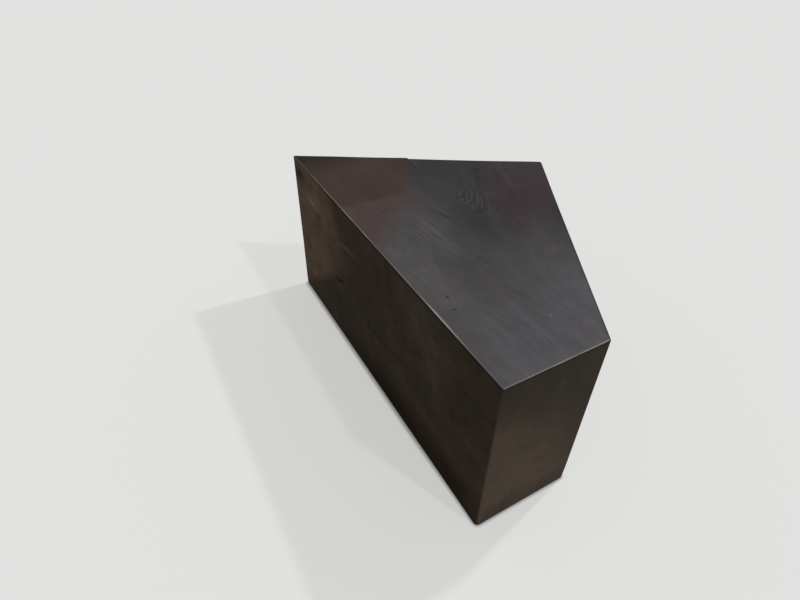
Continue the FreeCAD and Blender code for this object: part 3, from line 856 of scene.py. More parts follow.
@dataclass
class SideBoard:
    """One board of a mitred side, from mitre to mitre.

    Attributes:
        side: Which side it closes.
        band: Which board of the side it is.
        finish: Its stained finish.
        step: Size of a mesh cell.
        marks: Marks on its face.
        check: Its drying check, if it has one.
        rub_and_glint: How worn its upper arris is, with its painted highlight.
        edge_shade: How dark the painted shade just under that arris is.
        corner_rub: How worn its first and last upright arrises are.
        wear_width: Half width of a worn arris.
        shade_line: Depth under the upper arris where it is darkest, and half width of that band.
    """

    side: Side
    band: SideBand
    finish: StainedWood
    step: float = 0.008
    marks: tuple[Mark, ...] = ()
    check: Check | None = None
    rub_and_glint: float = 0.05
    edge_shade: float = 0.3
    corner_rub: Pair = (0.05, 0.05)
    wear_and_glint_width: float = 0.0010
    shade_line: Pair = (0.002, 0.0035)

    @property
    def name(self) -> str:
        """Name of the node that the board stands for."""
        return f"{self.side.name.lower()}_{self.band.value}"

    @property
    def ends(self) -> tuple[Corner, Corner]:
        """Corners at the start and the end of the side."""
        return Corner(self.side.value), Corner((self.side.value + 1) % 4)

    @property
    def length(self) -> float:
        """Length of the side before rounding."""
        first, last = self.ends
        return float(np.linalg.norm(PLAN.corner(last) - PLAN.corner(first)))

    def walk(self, level: Array) -> tuple[Array, Array, Array, Array]:
        """Traces the outside face in plan at each height, in the side's own axes: along it and into the case.

        The path is an arc of the corner's radius from the bisector of the first corner, a straight run, and
        an arc to the bisector of the last one. A point is the arc's centre plus the radius times the normal.

        Args:
            level: Heights above the floor.

        Returns:
            Distances along and inward, of shape (n, heights), and both parts of the normal, of shape (n, 1).
        """
        first, last = (PLAN.half_angle(corner) for corner in self.ends)
        early, late = (PLAN.rounding(corner, level) for corner in self.ends)
        start = np.linspace(first - math.pi, -math.pi / 2, ARC)[:, None]
        stop = np.linspace(-math.pi / 2, -last, ARC)[:, None]
        near, far = early / math.tan(first), self.length - late / math.tan(last)
        edge, margin = np.array([0.0015, 0.004, 0.008])[:, None], 0.024
        run = np.linspace(margin, self.length - margin, max(3, math.ceil(self.length / self.step)))
        if self.side is Side.BACK_LEFT:
            seam = self.length - PLAN.top_glue_line / PLAN.sine
            run = np.unique(np.concatenate([run, seam + np.array([-0.0003, 0.0, 0.0003, 0.002])]))
        straight = np.zeros((run.size + 2 * edge.size, level.size))
        turn = np.concatenate([start, straight[:, :1] - math.pi / 2, stop])
        along = np.concatenate([
            near + early * np.cos(start),
            near + edge,
            np.repeat(run[:, None], level.size, axis=1),
            far - edge[::-1],
            far + late * np.cos(stop),
        ])
        inward = np.concatenate([early * (1 + np.sin(start)), straight, late * (1 + np.sin(stop))])
        return along, inward, np.cos(turn), np.sin(turn)

    def profile(self) -> tuple[Array, Array]:
        """Draws the board's outside from its lower to its upper rim.

        A quarter round eases the foot and an eighth of a round leads up to the mitre under the top;
        the glue line between two boards is square.

        Returns:
            How far each point is set in from the face, and its height.
        """
        footed, topped = self.band is not SideBand.UPPER, self.band is not SideBand.LOWER
        low = PLAN.foot + PLAN.foot_radius if footed else PLAN.side_glue_line
        high = PLAN.height - PLAN.arris_radius if topped else PLAN.side_glue_line
        edge, margin = np.array([0.0008, 0.003, 0.007]), 0.013
        body = np.linspace(low + margin, high - margin, max(3, math.ceil((high - low) / self.step)))
        square = [rim for rim, eased in ((low, footed), (high, topped)) if not eased]
        extra = self.check.rows() if self.check else []
        rows = np.unique(np.concatenate([low + edge, body, high - edge, square, extra]))
        foot = np.linspace(math.pi / 2, 0, EASED if footed else 0)
        arris = np.linspace(0, math.pi / 4, EASED if topped else 0)
        inset = [PLAN.foot_radius * (1 - np.cos(foot)), 0 * rows, PLAN.arris_radius * (1 - np.cos(arris))]
        height = [low - PLAN.foot_radius * np.sin(foot), rows, high + PLAN.arris_radius * np.sin(arris)]
        return np.concatenate(inset), np.concatenate(height)

    def into_frame(self, along: Array, inward: Array, height: Array) -> Array:
        """Puts points from the side's own axes into the shared frame.

        Args:
            along: Distance from the side's first corner.
            inward: Distance into the case.
            height: Height above the floor.

        Returns:
            The points, with a last axis of three.
        """
        turn = PLAN.heading(self.side)
        x, y = PLAN.corner(self.ends[0])
        x = x + along * math.cos(turn) - inward * math.sin(turn)
        return PLAN.into_frame(x, y + along * math.sin(turn) + inward * math.cos(turn), height)

    def inside(self, along: Array, height: Array) -> Array:
        """Lays the flat inside at the board's thickness, cut at the same bisectors and matched to the face.

        Args:
            along: Distances of the face's upper rim along the side.
            height: Heights of the face's profile.

        Returns:
            The points, in the shared frame.
        """
        near, last = (PLAN.board / math.tan(PLAN.half_angle(corner)) for corner in self.ends)
        ceiling = PLAN.side_glue_line if self.band is SideBand.LOWER else PLAN.height - PLAN.board
        share = (along - along[0]) / (along[-1] - along[0])
        climb = (height - height[0]) / (height[-1] - height[0])
        x, z = near + (self.length - last - near) * share, height[0] + (ceiling - height[0]) * climb
        x, z = np.meshgrid(x, z, indexing="ij")
        return self.into_frame(x, np.full(x.shape, PLAN.board), z)

    def build(self) -> bpy.types.Object:
        """Builds the board, carries the profile along the path, sinks its marks and dresses it.

        A face point is the path's point less the normal times the profile's inset, at the profile's height.
        On a corner's arc the inset stays under the radius. Behind, the upper boards rise with the top.

        Returns:
            The piece.
        """
        inset, height = self.profile()
        along, inward, out_x, out_y = self.walk(height)
        eased = np.repeat(inset[None, :], len(along), axis=0)
        for corner, arc in zip(self.ends, (slice(None, ARC), slice(-ARC, None))):
            most = 0.9 * PLAN.rounding(corner, height)
            eased[arc] = np.minimum(eased[arc], most)
        x = along - out_x * eased
        level = np.broadcast_to(height[None, :], x.shape)
        groove, cut = np.zeros_like(x), 0.0
        if self.check:
            level = self.check.bend(x, level)
            groove, cut = self.check.strength(x, level), self.check.depth
        below = PLAN.height - level
        depth, layers = marked(self.marks, x, level)
        flat = rise(x, UPRIGHT_RIM, FADE) * rise(self.length - x, UPRIGHT_RIM, FADE)
        flat = flat * rise(level, PLAN.foot + LEVEL_RIM, FADE) * rise(below, LEVEL_RIM, FADE)
        sunk = flat * (depth + planed(x, level, float(self.side.value))) + groove * cut
        x = x - out_x * sunk
        outer = self.into_frame(x, inward - out_y * (eased + sunk), level)
        if self.side in (Side.BACK_LEFT, Side.BACK_RIGHT):
            plan_x, plan_y = outer[..., 0] + PLAN.centre[0], outer[..., 1] + PLAN.centre[1]
            on_front = plan_y <= PLAN.top_glue_line + 1e-6
            climb = rise(level, PLAN.side_glue_line + 0.01, 0.08)
            outer[..., 2] += climb * CUPPING.lift(plan_x, plan_y, on_front)
        # Worn arrises; the upper one carries a painted highlight too.
        edges = ((self.rub_and_glint, below), (self.corner_rub[0], x), (self.corner_rub[1], self.length - x))
        wear_and_glint = sum(weight * bell(edge, 0.0, self.wear_and_glint_width) for weight, edge in edges)
        # Painted shade: darker in the check's groove and just under the upper arris.
        shade = np.maximum(groove, self.edge_shade * bell(below, *self.shade_line))
        layers |= {"wear_and_glint": np.clip(wear_and_glint, 0, 1), "dark": np.maximum(layers["dark"], shade)}
        piece = closed_shell(f"stained_{self.name}", outer, self.inside(along[:, -1], height), layers)
        piece.data.materials.append(self.finish.material())
        return piece


@dataclass
class TopBoard:
    """One board of the top, mitred to the sides all round.

    Attributes:
        band: Which board of the top it is.
        finish: Its stained finish.
        marks: Marks on its face.
        step: Size of a mesh cell.
        rub_and_glint: Middle and reach of the stretch of the long arris whose wear carries the strongest
            painted highlight.
        handled_and_lit: Middle and reach of the stretch whose wear carries a weaker painted highlight.
        long_line: Distance of the worn and highlighted line from the long side, and its half width.
        end_line: Distance of the worn and highlighted line from the short end, and its half width.
        rim_shade: Darkness of the painted shade along the back edges, and how far in it reaches.
    """

    band: TopBand
    finish: StainedWood
    marks: tuple[Mark, ...]
    step: float = 0.006
    rub_and_glint: Pair = (0.79, 0.06)
    handled_and_lit: Pair = (0.42, 0.36)
    long_line: Pair = (0.0013, 0.0012)
    end_line: Pair = (0.0016, 0.0013)
    rim_shade: Pair = (0.7, 0.0035)

    @property
    def name(self) -> str:
        """Name of the node that the board stands for."""
        return self.band.value

    @property
    def small_marks(self) -> list[Mark]:
        """Marks that are smaller than a mesh cell."""
        return [mark for mark in self.marks if max(mark.size) < self.step]

    def line_ends(self, y: Array, inset: float) -> tuple[Array, Array]:
        """Gives where level lines across the plan meet the side lines, moved in by an inset.

        The left end solves x times the sine less y times the cosine = inset. The right end is the lesser
        of the long side less the inset and (back left side - inset - y times the sine) over the cosine.

        Args:
            y: Plan y of the lines.
            inset: How far the side lines are moved in.

        Returns:
            Plan x of the left and the right ends.
        """
        right = np.minimum(PLAN.long_side - inset, (PLAN.back_left - inset - y * PLAN.sine) / PLAN.cosine)
        return (inset + y * PLAN.cosine) / PLAN.sine, right

    def rounded_ends(self, y: Array, inset: float) -> tuple[Array, Array]:
        """Gives the ends of level lines on the rounded outline, moved in by an inset.

        Between the tangent points of a rounded corner, the end lies on the circle about its centre.

        Args:
            y: Plan y of the lines.
            inset: How far the outline is moved in.

        Returns:
            Plan x of the left and the right ends.
        """
        def rounded(ends: Array, corner: Corner, sign: float, start: float, stop: float) -> Array:
            """Swaps the ends on a stretch of lines for those on a rounding's circle.

            Args:
                ends: Ends on the side lines.
                corner: Which corner is rounded.
                sign: -1 for left ends, 1 for right ends.
                start: Where the stretch starts, in radii from the rounding's centre.
                stop: Where it stops.

            Returns:
                The ends.
            """
            centre, radius = PLAN.top_rounding(corner)
            offset = (y - centre[1]) / (radius - inset)
            swing = sign * (radius - inset) * np.sqrt(np.clip(1 - offset ** 2, 0, None))
            return np.where((offset > start) & (offset < stop), centre[0] + swing, ends)

        left, right = self.line_ends(y, inset)
        left = rounded(left, Corner.SHARP, -1.0, -math.inf, PLAN.cosine)
        left = rounded(left, Corner.BACK, -1.0, PLAN.cosine, math.inf)
        right = rounded(right, Corner.FRONT, 1.0, -math.inf, 0.0)
        right = rounded(right, Corner.BLUNT, 1.0, 0.0, PLAN.sine)
        return left, rounded(right, Corner.BACK, 1.0, PLAN.sine, math.inf)

    def rows(self, inset: float) -> Array:
        """Chooses the level lines of the mesh, closer together at the arrises and at small marks.

        Args:
            inset: How far the face's rim is set in.

        Returns:
            Plan y of the lines.
        """
        seam = PLAN.top_glue_line
        if self.band is TopBand.FRONT:
            arris = np.array([0.0, 0.0002, 0.0005, 0.0009, 0.0014, 0.002, 0.003, 0.0045, 0.007, 0.011])
            turn = PLAN.short_end + np.linspace(-0.004, 0.004, 9)
            start = 0.016
            body = np.linspace(start, seam, math.ceil((seam - start) / self.step))
            rows = [inset + arris, turn, body, seam - np.array([0.0004, 0.0009, 0.0016, 0.0026])]
        else:
            back, radius = PLAN.top_rounding(Corner.BACK)
            short_of_tip, margin = 0.985, 0.012
            apex = back[1] + (radius - inset) * short_of_tip
            stop = apex - margin
            body = np.linspace(seam, stop, math.ceil((stop - seam) / self.step))
            rows = [body, apex - np.array([0.0, 0.0002, 0.0005, 0.001, 0.0018, 0.003, 0.005, 0.008])]
        rows += [mark.centre[1] + np.linspace(-2, 2, 9) * min(mark.size) for mark in self.small_marks]
        return np.unique(np.concatenate(rows))

    def columns(self, lines: Array, left: Array, right: Array) -> Array:
        """Spreads points over each level line, closer together at both arrises and at small marks.

        Args:
            lines: Plan y of the lines.
            left: Left end of each line.
            right: Right end of each line.

        Returns:
            Plan x of the points, of shape (lines, points).
        """
        edge = np.array([0.0, 0.0003, 0.0007, 0.0012, 0.0018, 0.0025, 0.0036, 0.0055, 0.009, 0.014])
        narrow = 0.06
        scale = np.minimum(1.0, (right - left) / narrow)[:, None]
        width = (right - left)[:, None] - 2 * edge[-1] * scale
        share = np.linspace(0, 1, math.ceil(float(np.max(right - left)) / self.step))[1:-1]
        for mark in self.small_marks:
            line = int(np.argmin(np.abs(lines - mark.centre[1])))
            middle = mark.centre[0] - left[line] - edge[-1]
            share = np.append(share, (middle + np.linspace(-2, 2, 9) * mark.size[0]) / width[line, 0])
        first, last = left[:, None] + edge * scale, right[:, None] - edge[::-1] * scale
        return np.concatenate([first, first[:, -1:] + width * np.unique(share), last], axis=1)

    def underside(self, y: Array, count: int, inset: float) -> Array:
        """Lays the underside: a flat grid on the outline moved in by the board's thickness.

        Lines are matched to those of the face piece by piece, so that each rim point faces its partner
        square across the mitre.

        Args:
            y: Level lines of the face.
            count: Points in a line.
            inset: How far the face's rim is set in.

        Returns:
            Points of shape (lines, count, 3), in the shared frame.
        """
        def blunt(moved: float) -> float:
            """Plan y of the blunt corner of the outline moved in."""
            return (PLAN.back_left - moved - (PLAN.long_side - moved) * PLAN.cosine) / PLAN.sine

        thick, seam = PLAN.board, PLAN.top_glue_line
        if self.band is TopBand.FRONT:
            left_y = np.interp(y, [inset, seam], [thick, seam])
            right_y = np.interp(y, [inset, blunt(inset), seam], [thick, blunt(thick), seam])
        else:
            short_of_tip = 0.0004
            apex = (PLAN.back_left - thick) * PLAN.sine - thick * PLAN.cosine - short_of_tip
            left_y = right_y = np.interp(y, [seam, y[-1]], [seam, apex])
        left, right = self.line_ends(left_y, thick)[0], self.line_ends(right_y, thick)[1]
        x = np.linspace(left, right, count, axis=1)
        plan_y = np.linspace(left_y, right_y, count, axis=1)
        return PLAN.into_frame(x, plan_y, np.full(x.shape, PLAN.height - thick))

    def build(self) -> bpy.types.Object:
        """Builds the board and dresses it.

        The face's height is the table's height less the drop of the arris, which is the radius less the root
        of the squared radius less the squared shortfall of the inside distance from the radius. The arris is
        worn along the long side and along the short end, with a painted highlight over the wear that is
        strongest at one stretch of the long side, and painted shade darkens it behind.

        Returns:
            The piece.
        """
        radius = PLAN.arris_radius
        inset = radius * (1 - math.cos(math.pi / 4))
        lines = self.rows(inset)
        x = self.columns(lines, *self.rounded_ends(lines, inset))
        y = np.broadcast_to(lines[:, None], x.shape)
        inside = PLAN.inside_distance(x, y)
        drop = radius - np.sqrt(radius ** 2 - np.clip(radius - inside, 0, radius) ** 2)
        depth, layers = marked(self.marks, x, y)
        sunk = drop + rise(inside, LEVEL_RIM, FADE) * planed(x, y, 5.0) + depth
        outer = PLAN.into_frame(x, y, PLAN.height - sunk + CUPPING.lift(x, y, self.band is TopBand.FRONT))
        # Worn arris lines along the long side and the short end, with a painted highlight over them,
        # strongest at one stretch.
        rub_and_glint, handled_and_lit = bell(x, *self.rub_and_glint), bell(x, *self.handled_and_lit)
        place, width = self.long_line
        long_edge = (0.15 + 0.65 * handled_and_lit + 1.9 * rub_and_glint) * bell(y, place, width + 0.0014 * rub_and_glint)
        short_edge = (0.34 + 0.42 * rise(y, 0.03, 0.05)) * bell(PLAN.long_side - x, *self.end_line)
        # Painted shade along the back edges of the top.
        behind = PLAN.side_distances(x, y)[Side.BACK_RIGHT.value:].min(axis=0)
        rim = self.rim_shade[0] * bell(behind, 0.0, self.rim_shade[1])
        layers |= {"wear_and_glint": np.maximum(long_edge, short_edge), "dark": np.maximum(layers["dark"], rim)}
        piece = closed_shell(f"stained_{self.name}", outer, self.underside(lines, x.shape[1], inset), layers)
        piece.data.materials.append(self.finish.material())
        return piece


@dataclass(frozen=True)
class Inside:
    """The timber, screws and glides behind the boards, which keep their solid shapes."""

    post_grain: Point = (0.0, -90.0, 0.0)
    batten_grain: Point = (0.0, 0.0, 90.0)
    tongue_grain: Point = (90.0, 0.0, 0.0)

    def finishes(self) -> dict[str, bpy.types.Material]:
        """Pairs each kept node with its finish.

        Returns:
            Materials by node name.
        """
        post = RawTimber("post_timber", self.post_grain).material()
        tongue = RawTimber("tongue_ply", self.tongue_grain, (0.34, 0.22, 0.12), (0.58, 0.43, 0.27)).material()
        batten = RawTimber("batten_timber", self.batten_grain).material()
        zinc = ZincSteel().material()
        pairs = {"near_top_batten": batten, "far_top_batten": batten, "floor_glides": Nylon().material()}
        for side in Side:
            word = side.name.lower()
            bar = RawTimber(f"{word}_bar_timber", (0.0, 0.0, math.degrees(PLAN.heading(side)))).material()
            pairs |= {f"{word}_top_cleat": bar, f"{word}_foot_rail": bar, f"{word}_top_tongue": tongue}
        for corner in Corner:
            word = corner.name.lower()
            pairs |= {f"{word}_corner_post": post, f"{word}_corner_tongue": tongue}
        return pairs | {f"{group}_screws": zinc for group in ("rail", "cleat", "top", "batten", "glide")}

    def dress(self) -> None:
        """Puts the finishes on the kept nodes."""
        for node, finish in self.finishes().items():
            solid = bpy.data.objects[node]
            solid.data.materials.clear()
            solid.data.materials.append(finish)
            LOG.info("dressed %s", node)


@dataclass(frozen=True)
class Studio:
    """Floor, lamps, sky and camera.

    Attributes:
        pale: How brightly the floor glows.
        backdrop: How bright the sky shows.
        albedo: Share of the light on the floor that it gives back.
        sky: Level of the soft light from all round.
        grey: Colour of the sky.
        globe: Place of the soft globe behind the table.
        globe_share: Share of the floor's light that the globe gives below the table.
        globe_power: Power of the globe, in watts.
        globe_radius: Radius of the globe.
        lamp: Place of the wide lamp beyond the short end.
        lamp_strength: Strength of the lamp.
        lamp_angle: How wide the lamp is seen from the table, in degrees.
        shade_span: Where along X the shade at the foot of the table starts and ends its change.
        shade_width: Width of that shade at both places.
        shade_depth: Power that deepens it at both places.
        eye: Place of the camera.
        azimuth: How far the view is turned from +Y towards -X, in degrees.
        elevation: How far the view looks down, in degrees.
        roll: Turn of the picture, in degrees.
        lens: Focal length in millimetres on a sensor 36 mm wide.
        shift: Shift of the picture, in sensor widths.
    """

    pale: float = 0.5005
    backdrop: float = 0.76
    albedo: float = 0.30
    sky: float = 0.50
    grey: Colour = (0.8, 0.8, 0.8)
    globe: Point = (-0.27, 3.19, 4.76)
    globe_share: float = 0.088
    globe_power: float = 463.0
    globe_radius: float = 0.12
    lamp: Point = (3.4, 1.38, 4.57)
    lamp_strength: float = 0.70
    lamp_angle: float = 2.5
    shade_span: Pair = (0.15, 0.49)
    shade_width: Pair = (0.014, 0.0075)
    shade_depth: Pair = (2.4, 1.7)
    eye: Point = (0.92195, -0.75167, 1.15343)
    azimuth: float = 58.0202
    elevation: float = 39.767
    roll: float = 2.4966
    lens: float = 24.585
    shift: Pair = (-0.02223, -0.00492)

    def pale_floor(self) -> bpy.types.Material:
        """Builds the floor's finish: matt, with a pale glow that only the eye sees.

        The glow makes up for the slant of the globe's light, whose share falls with the distance from it,
        and is dimmed in the last centimetre before the foot of the table, less towards the short end.

        Returns:
            The material.
        """
        graph = Graph(bpy.data.materials.new("pale_floor"))
        cloud = graph.ramp(graph.noise(graph.coordinates, 0.6, 2.0), 0.3, 0.7)
        matt = graph.node("BsdfDiffuse", graph.blend(cloud, (self.albedo * 0.995,) * 3, (self.albedo,) * 3))
        along = graph.node("SeparateXYZ", graph.coordinates).outputs[0]
        contact = graph.node("AmbientOcclusion", samples=8)
        graph.feed(contact.inputs["Distance"], graph.ramp(along, *self.shade_span, *self.shade_width))
        depth = graph.ramp(along, *self.shade_span, *self.shade_depth)
        shade = graph.math("POWER", contact.outputs["AO"], depth)
        distance = graph.vector("DISTANCE", graph.coordinates, self.globe)
        slant = graph.math("DIVIDE", Vector(self.globe).length, distance)
        lit = graph.math("MULTIPLY_ADD", slant, -self.globe_share, self.pale + self.globe_share)
        lit = graph.math("MULTIPLY", graph.seen(), graph.math("MULTIPLY", shade, lit))
        glow = graph.node("Emission", (1.0, 1.0, 0.985), lit)
        return graph.close(graph.node("AddShader", matt.outputs[0], glow.outputs[0]))

    def lay_floor(self) -> bpy.types.Object:
        """Lays the floor: a level grid.

        Returns:
            The floor.
        """
        across = np.linspace(-30.0, 30.0, 13)
        x, y = np.meshgrid(across, across, indexing="ij")
        points = np.stack([x, y, np.zeros_like(x)], axis=-1).reshape(-1, 3)
        mesh = bpy.data.meshes.new("floor")
        mesh.from_pydata(points.tolist(), [], grid_quads(across.size, across.size, 0).tolist())
        mesh.materials.append(self.pale_floor())
        return stand("floor", mesh)

    def hang_sky(self) -> None:
        """Sets the even light from all round, with a pale backdrop where it is seen."""
        graph = Graph(bpy.data.worlds.new("soft_sky"), "OutputWorld")
        levels = (self.sky, self.backdrop)
        light, back = (graph.node("Background", self.grey, level).outputs[0] for level in levels)
        bpy.context.scene.world = graph.close(graph.node("MixShader", graph.seen(), light, back))

    def hang_lamps(self) -> None:
        """Hangs a soft globe high behind the table and a wide lamp beyond the short end."""
        globe = bpy.data.lights.new("back_globe", "POINT")
        globe.energy = self.globe_power
        globe.shadow_soft_size = self.globe_radius
        globe.use_nodes = True
        even = globe.node_tree.nodes.new("ShaderNodeLightFalloff")
        even.inputs["Strength"].default_value = 1 / Vector(self.globe).length_squared
        glow = globe.node_tree.nodes["Emission"]
        globe.node_tree.links.new(even.outputs["Constant"], glow.inputs["Strength"])
        stand("back_globe", globe).location = self.globe
        wide = bpy.data.lights.new("side_lamp", "SUN")
        wide.energy = self.lamp_strength
        wide.angle = math.radians(self.lamp_angle)
        hung = stand("side_lamp", wide)
        hung.location = self.lamp
        hung.rotation_euler = (-Vector(self.lamp)).to_track_quat("-Z", "Y").to_euler()

    def stand_camera(self) -> None:
        """Stands the camera where the photograph was taken.

        The view looks along (-sin az cos el, cos az cos el, -sin el). The picture's right and up are the
        level right and its cross product with the view, turned by the roll.
        """
        az, el, roll = (math.radians(angle) for angle in (self.azimuth, self.elevation, self.roll))
        ahead = Vector((-math.sin(az) * math.cos(el), math.cos(az) * math.cos(el), -math.sin(el)))
        level = Vector((math.cos(az), math.sin(az), 0.0))
        over = level.cross(ahead)
        right = level * math.cos(roll) + over * math.sin(roll)
        up = over * math.cos(roll) - level * math.sin(roll)
        data = bpy.data.cameras.new("camera")
        data.sensor_fit = "HORIZONTAL"
        data.sensor_width = 36.0
        data.lens = self.lens
        data.shift_x, data.shift_y = self.shift
        camera = stand("camera", data)
        camera.matrix_world = Matrix.Translation(self.eye) @ Matrix((right, up, -ahead)).transposed().to_4x4()
        bpy.context.scene.camera = camera

    def build(self) -> None:
        """Builds the whole set."""
        self.lay_floor()
        self.hang_sky()
        self.hang_lamps()
        self.stand_camera()
        bpy.context.scene.view_settings.view_transform = "Standard"


def border(x: float, y: float, z: float, way: Point, reach: float) -> Border:
    """Draws a border through a plan point at a height."""
    return Border(PLAN.spot(x, y, z), way, reach)


def top_boards() -> list[TopBoard]:
    """Chooses the boards of the top, their cut and their marks.

    Returns:
        The boards.
    """
    def line(x: float, y: float, way: Pair, reach: float) -> Border:
        """Draws a border on the top through a plan point."""
        return border(x, y, PLAN.height, (*way, 0.0), reach)

    # Painted sheen: the top turns lighter and cooler towards the blunt corner, standing in for the sky's
    # reflection.
    painted_sheen_front = Zone((0.0900, 0.0860, 0.0930), (line(0.72, 0.17, (0.93, 0.37), 0.22),), 0.03)
    # Painted shade: the top darkens towards the back corner.
    painted_shade_back = Zone((0.0300, 0.0272, 0.0287), (line(0.72, 0.19, (-0.55, 0.835), 0.40),), 0.03)
    plum = Zone((0.0400, 0.0285, 0.0322), (
        line(0.40, 0.375, (0.53, 0.848), 0.03),
        line(0.55, 0.300, (0.0, 1.0), 0.06),
        line(0.67, 0.36, (-0.95, -0.31), 0.12),
    ), 0.025)
    rose = Zone((0.0690, 0.0470, 0.0435), (
        line(0.455, 0.145, (-0.75, -0.66), 0.10),
        line(0.30, 0.225, (0.15, -0.99), 0.05),
    ), 0.03)
    umber = Zone((0.0530, 0.0320, 0.0235), (
        line(0.342, 0.10, (-1.0, 0.05), 0.03),
        line(0.294, 0.228, (-0.56, -0.83), 0.045),
    ), 0.008)
    dark_tip = Zone((0.0150, 0.0085, 0.0040), (line(0.18, 0.05, (-0.97, -0.24), 0.16),), 0.03)
    zones = (painted_sheen_front, painted_shade_back, plum, rose, umber, dark_tip)
    # The top's grey is the stain's colour with a painted grey sheen of the sky mixed in.
    tone = (0.0760, 0.0720, 0.0742)
    satin = {"contrast": 0.26, "cloud": 0.26, "roughness": 0.36, "specular": 0.06}
    straight = Log(PLAN.spot(0.40, 0.55, 0.28), (0.0, 0.0, 7.0), 0.0042)
    slanted = Log(PLAN.spot(0.305, 0.392, PLAN.height), (0.0, 4.0, -31.0))
    shoot = Log(PLAN.spot(0.336, 0.298, PLAN.height), (0.0, 30.0, -6.0), 0.0070, 0.018)
    front = StainedWood("stained_top_front", straight, tone, zones, **satin)
    back = StainedWood("stained_top_back", slanted, tone, zones, branch=shoot, **satin)
    dim = Mark((0.54, 0.262), (0.12, 0.075), -10.0, dark=0.45)
    front_marks = (
        dim,
        Mark((0.735, 0.048), (0.0036, 0.0022), 25.0, 0.0016, 1.0),
        Mark((0.773, 0.040), (0.0036, 0.0021), 70.0, 0.0014, 1.0),
        Mark((0.876, 0.196), (0.0018, 0.0013), 20.0, pale=1.0),
        Mark((0.582, 0.275), (0.0022, 0.0014), pale=1.0),
        Mark((0.68, 0.15), (0.10, 0.08), dark=0.22),
        Mark((0.68, 0.277), (0.025, 0.010), 10.0, dark=0.12),
        Mark((0.85, 0.132), (0.10, 0.009), -2.0, dark=0.06),
        # Painted shadow of the lifted front board's step at the glue line.
        Mark((0.20, 0.2755), (0.024, 0.0018), -8.0, dark=0.5),
        Mark((0.66, 0.030), (0.17, 0.070), pale=0.075),
        Mark((0.47, 0.165), (0.06, 0.050), pale=0.05),
        Mark((0.65, 0.077), (0.07, 0.009), -2.0, pale=0.12),
        Mark((0.83, 0.155), (0.13, 0.009), -2.0, pale=0.05),
        Mark((0.605, 0.146), (0.02, 0.0035), pale=0.12),
        Mark((0.62, 0.245), (0.03, 0.006), pale=0.05),
        # Painted highlight on the lifted lip of the front board at the glue line.
        Mark((0.197, 0.2795), (0.020, 0.0014), -4.0, pale=0.5),
        Mark((0.47, 0.205), (0.05, 0.020), -3.0, figure=0.75),
        Mark((0.50, 0.150), (0.06, 0.024), 4.0, figure=1.0),
        Mark((0.49, 0.112), (0.06, 0.014), 8.0, figure=0.9),
        Mark((0.385, 0.092), (0.035, 0.018), 5.0, figure=0.8),
    )
    back_marks = (
        dim,
        Mark((0.37, 0.446), (0.045, 0.012), -25.0, dark=0.28),
        Mark((0.36, 0.435), (0.05, 0.03), -25.0, dark=0.12),
        Mark((0.47, 0.424), (0.050, 0.009), -20.0, dark=0.22),
        Mark((0.31, 0.416), (0.032, 0.008), -31.0, dark=0.26),
        Mark((0.352, 0.390), (0.028, 0.006), -28.0, dark=0.38),
        Mark((0.335, 0.345), (0.026, 0.011), -20.0, dark=0.26),
        Mark((0.358, 0.374), (0.028, 0.006), -28.0, pale=0.16),
        Mark((0.30, 0.374), (0.030, 0.006), -31.0, pale=0.12),
        Mark((0.315, 0.492), (0.022, 0.004), -22.0, pale=0.30),
        Mark((0.39, 0.464), (0.06, 0.006), -22.0, pale=0.11),
        Mark((0.59, 0.395), (0.05, 0.06), -60.0, pale=0.07),
        # Painted highlight along the glue line on the back board.
        Mark((0.195, 0.2845), (0.020, 0.0018), -10.0, pale=0.25),
        Mark((0.36, 0.47), (0.06, 0.05), -25.0, figure=0.25),
        Mark((0.33, 0.375), (0.045, 0.025), -31.0, figure=0.35),
        Mark((0.435, 0.315), (0.090, 0.055), -31.0, figure=1.0),
    )
    return [TopBoard(TopBand.FRONT, front, front_marks), TopBoard(TopBand.BACK, back, back_marks)]


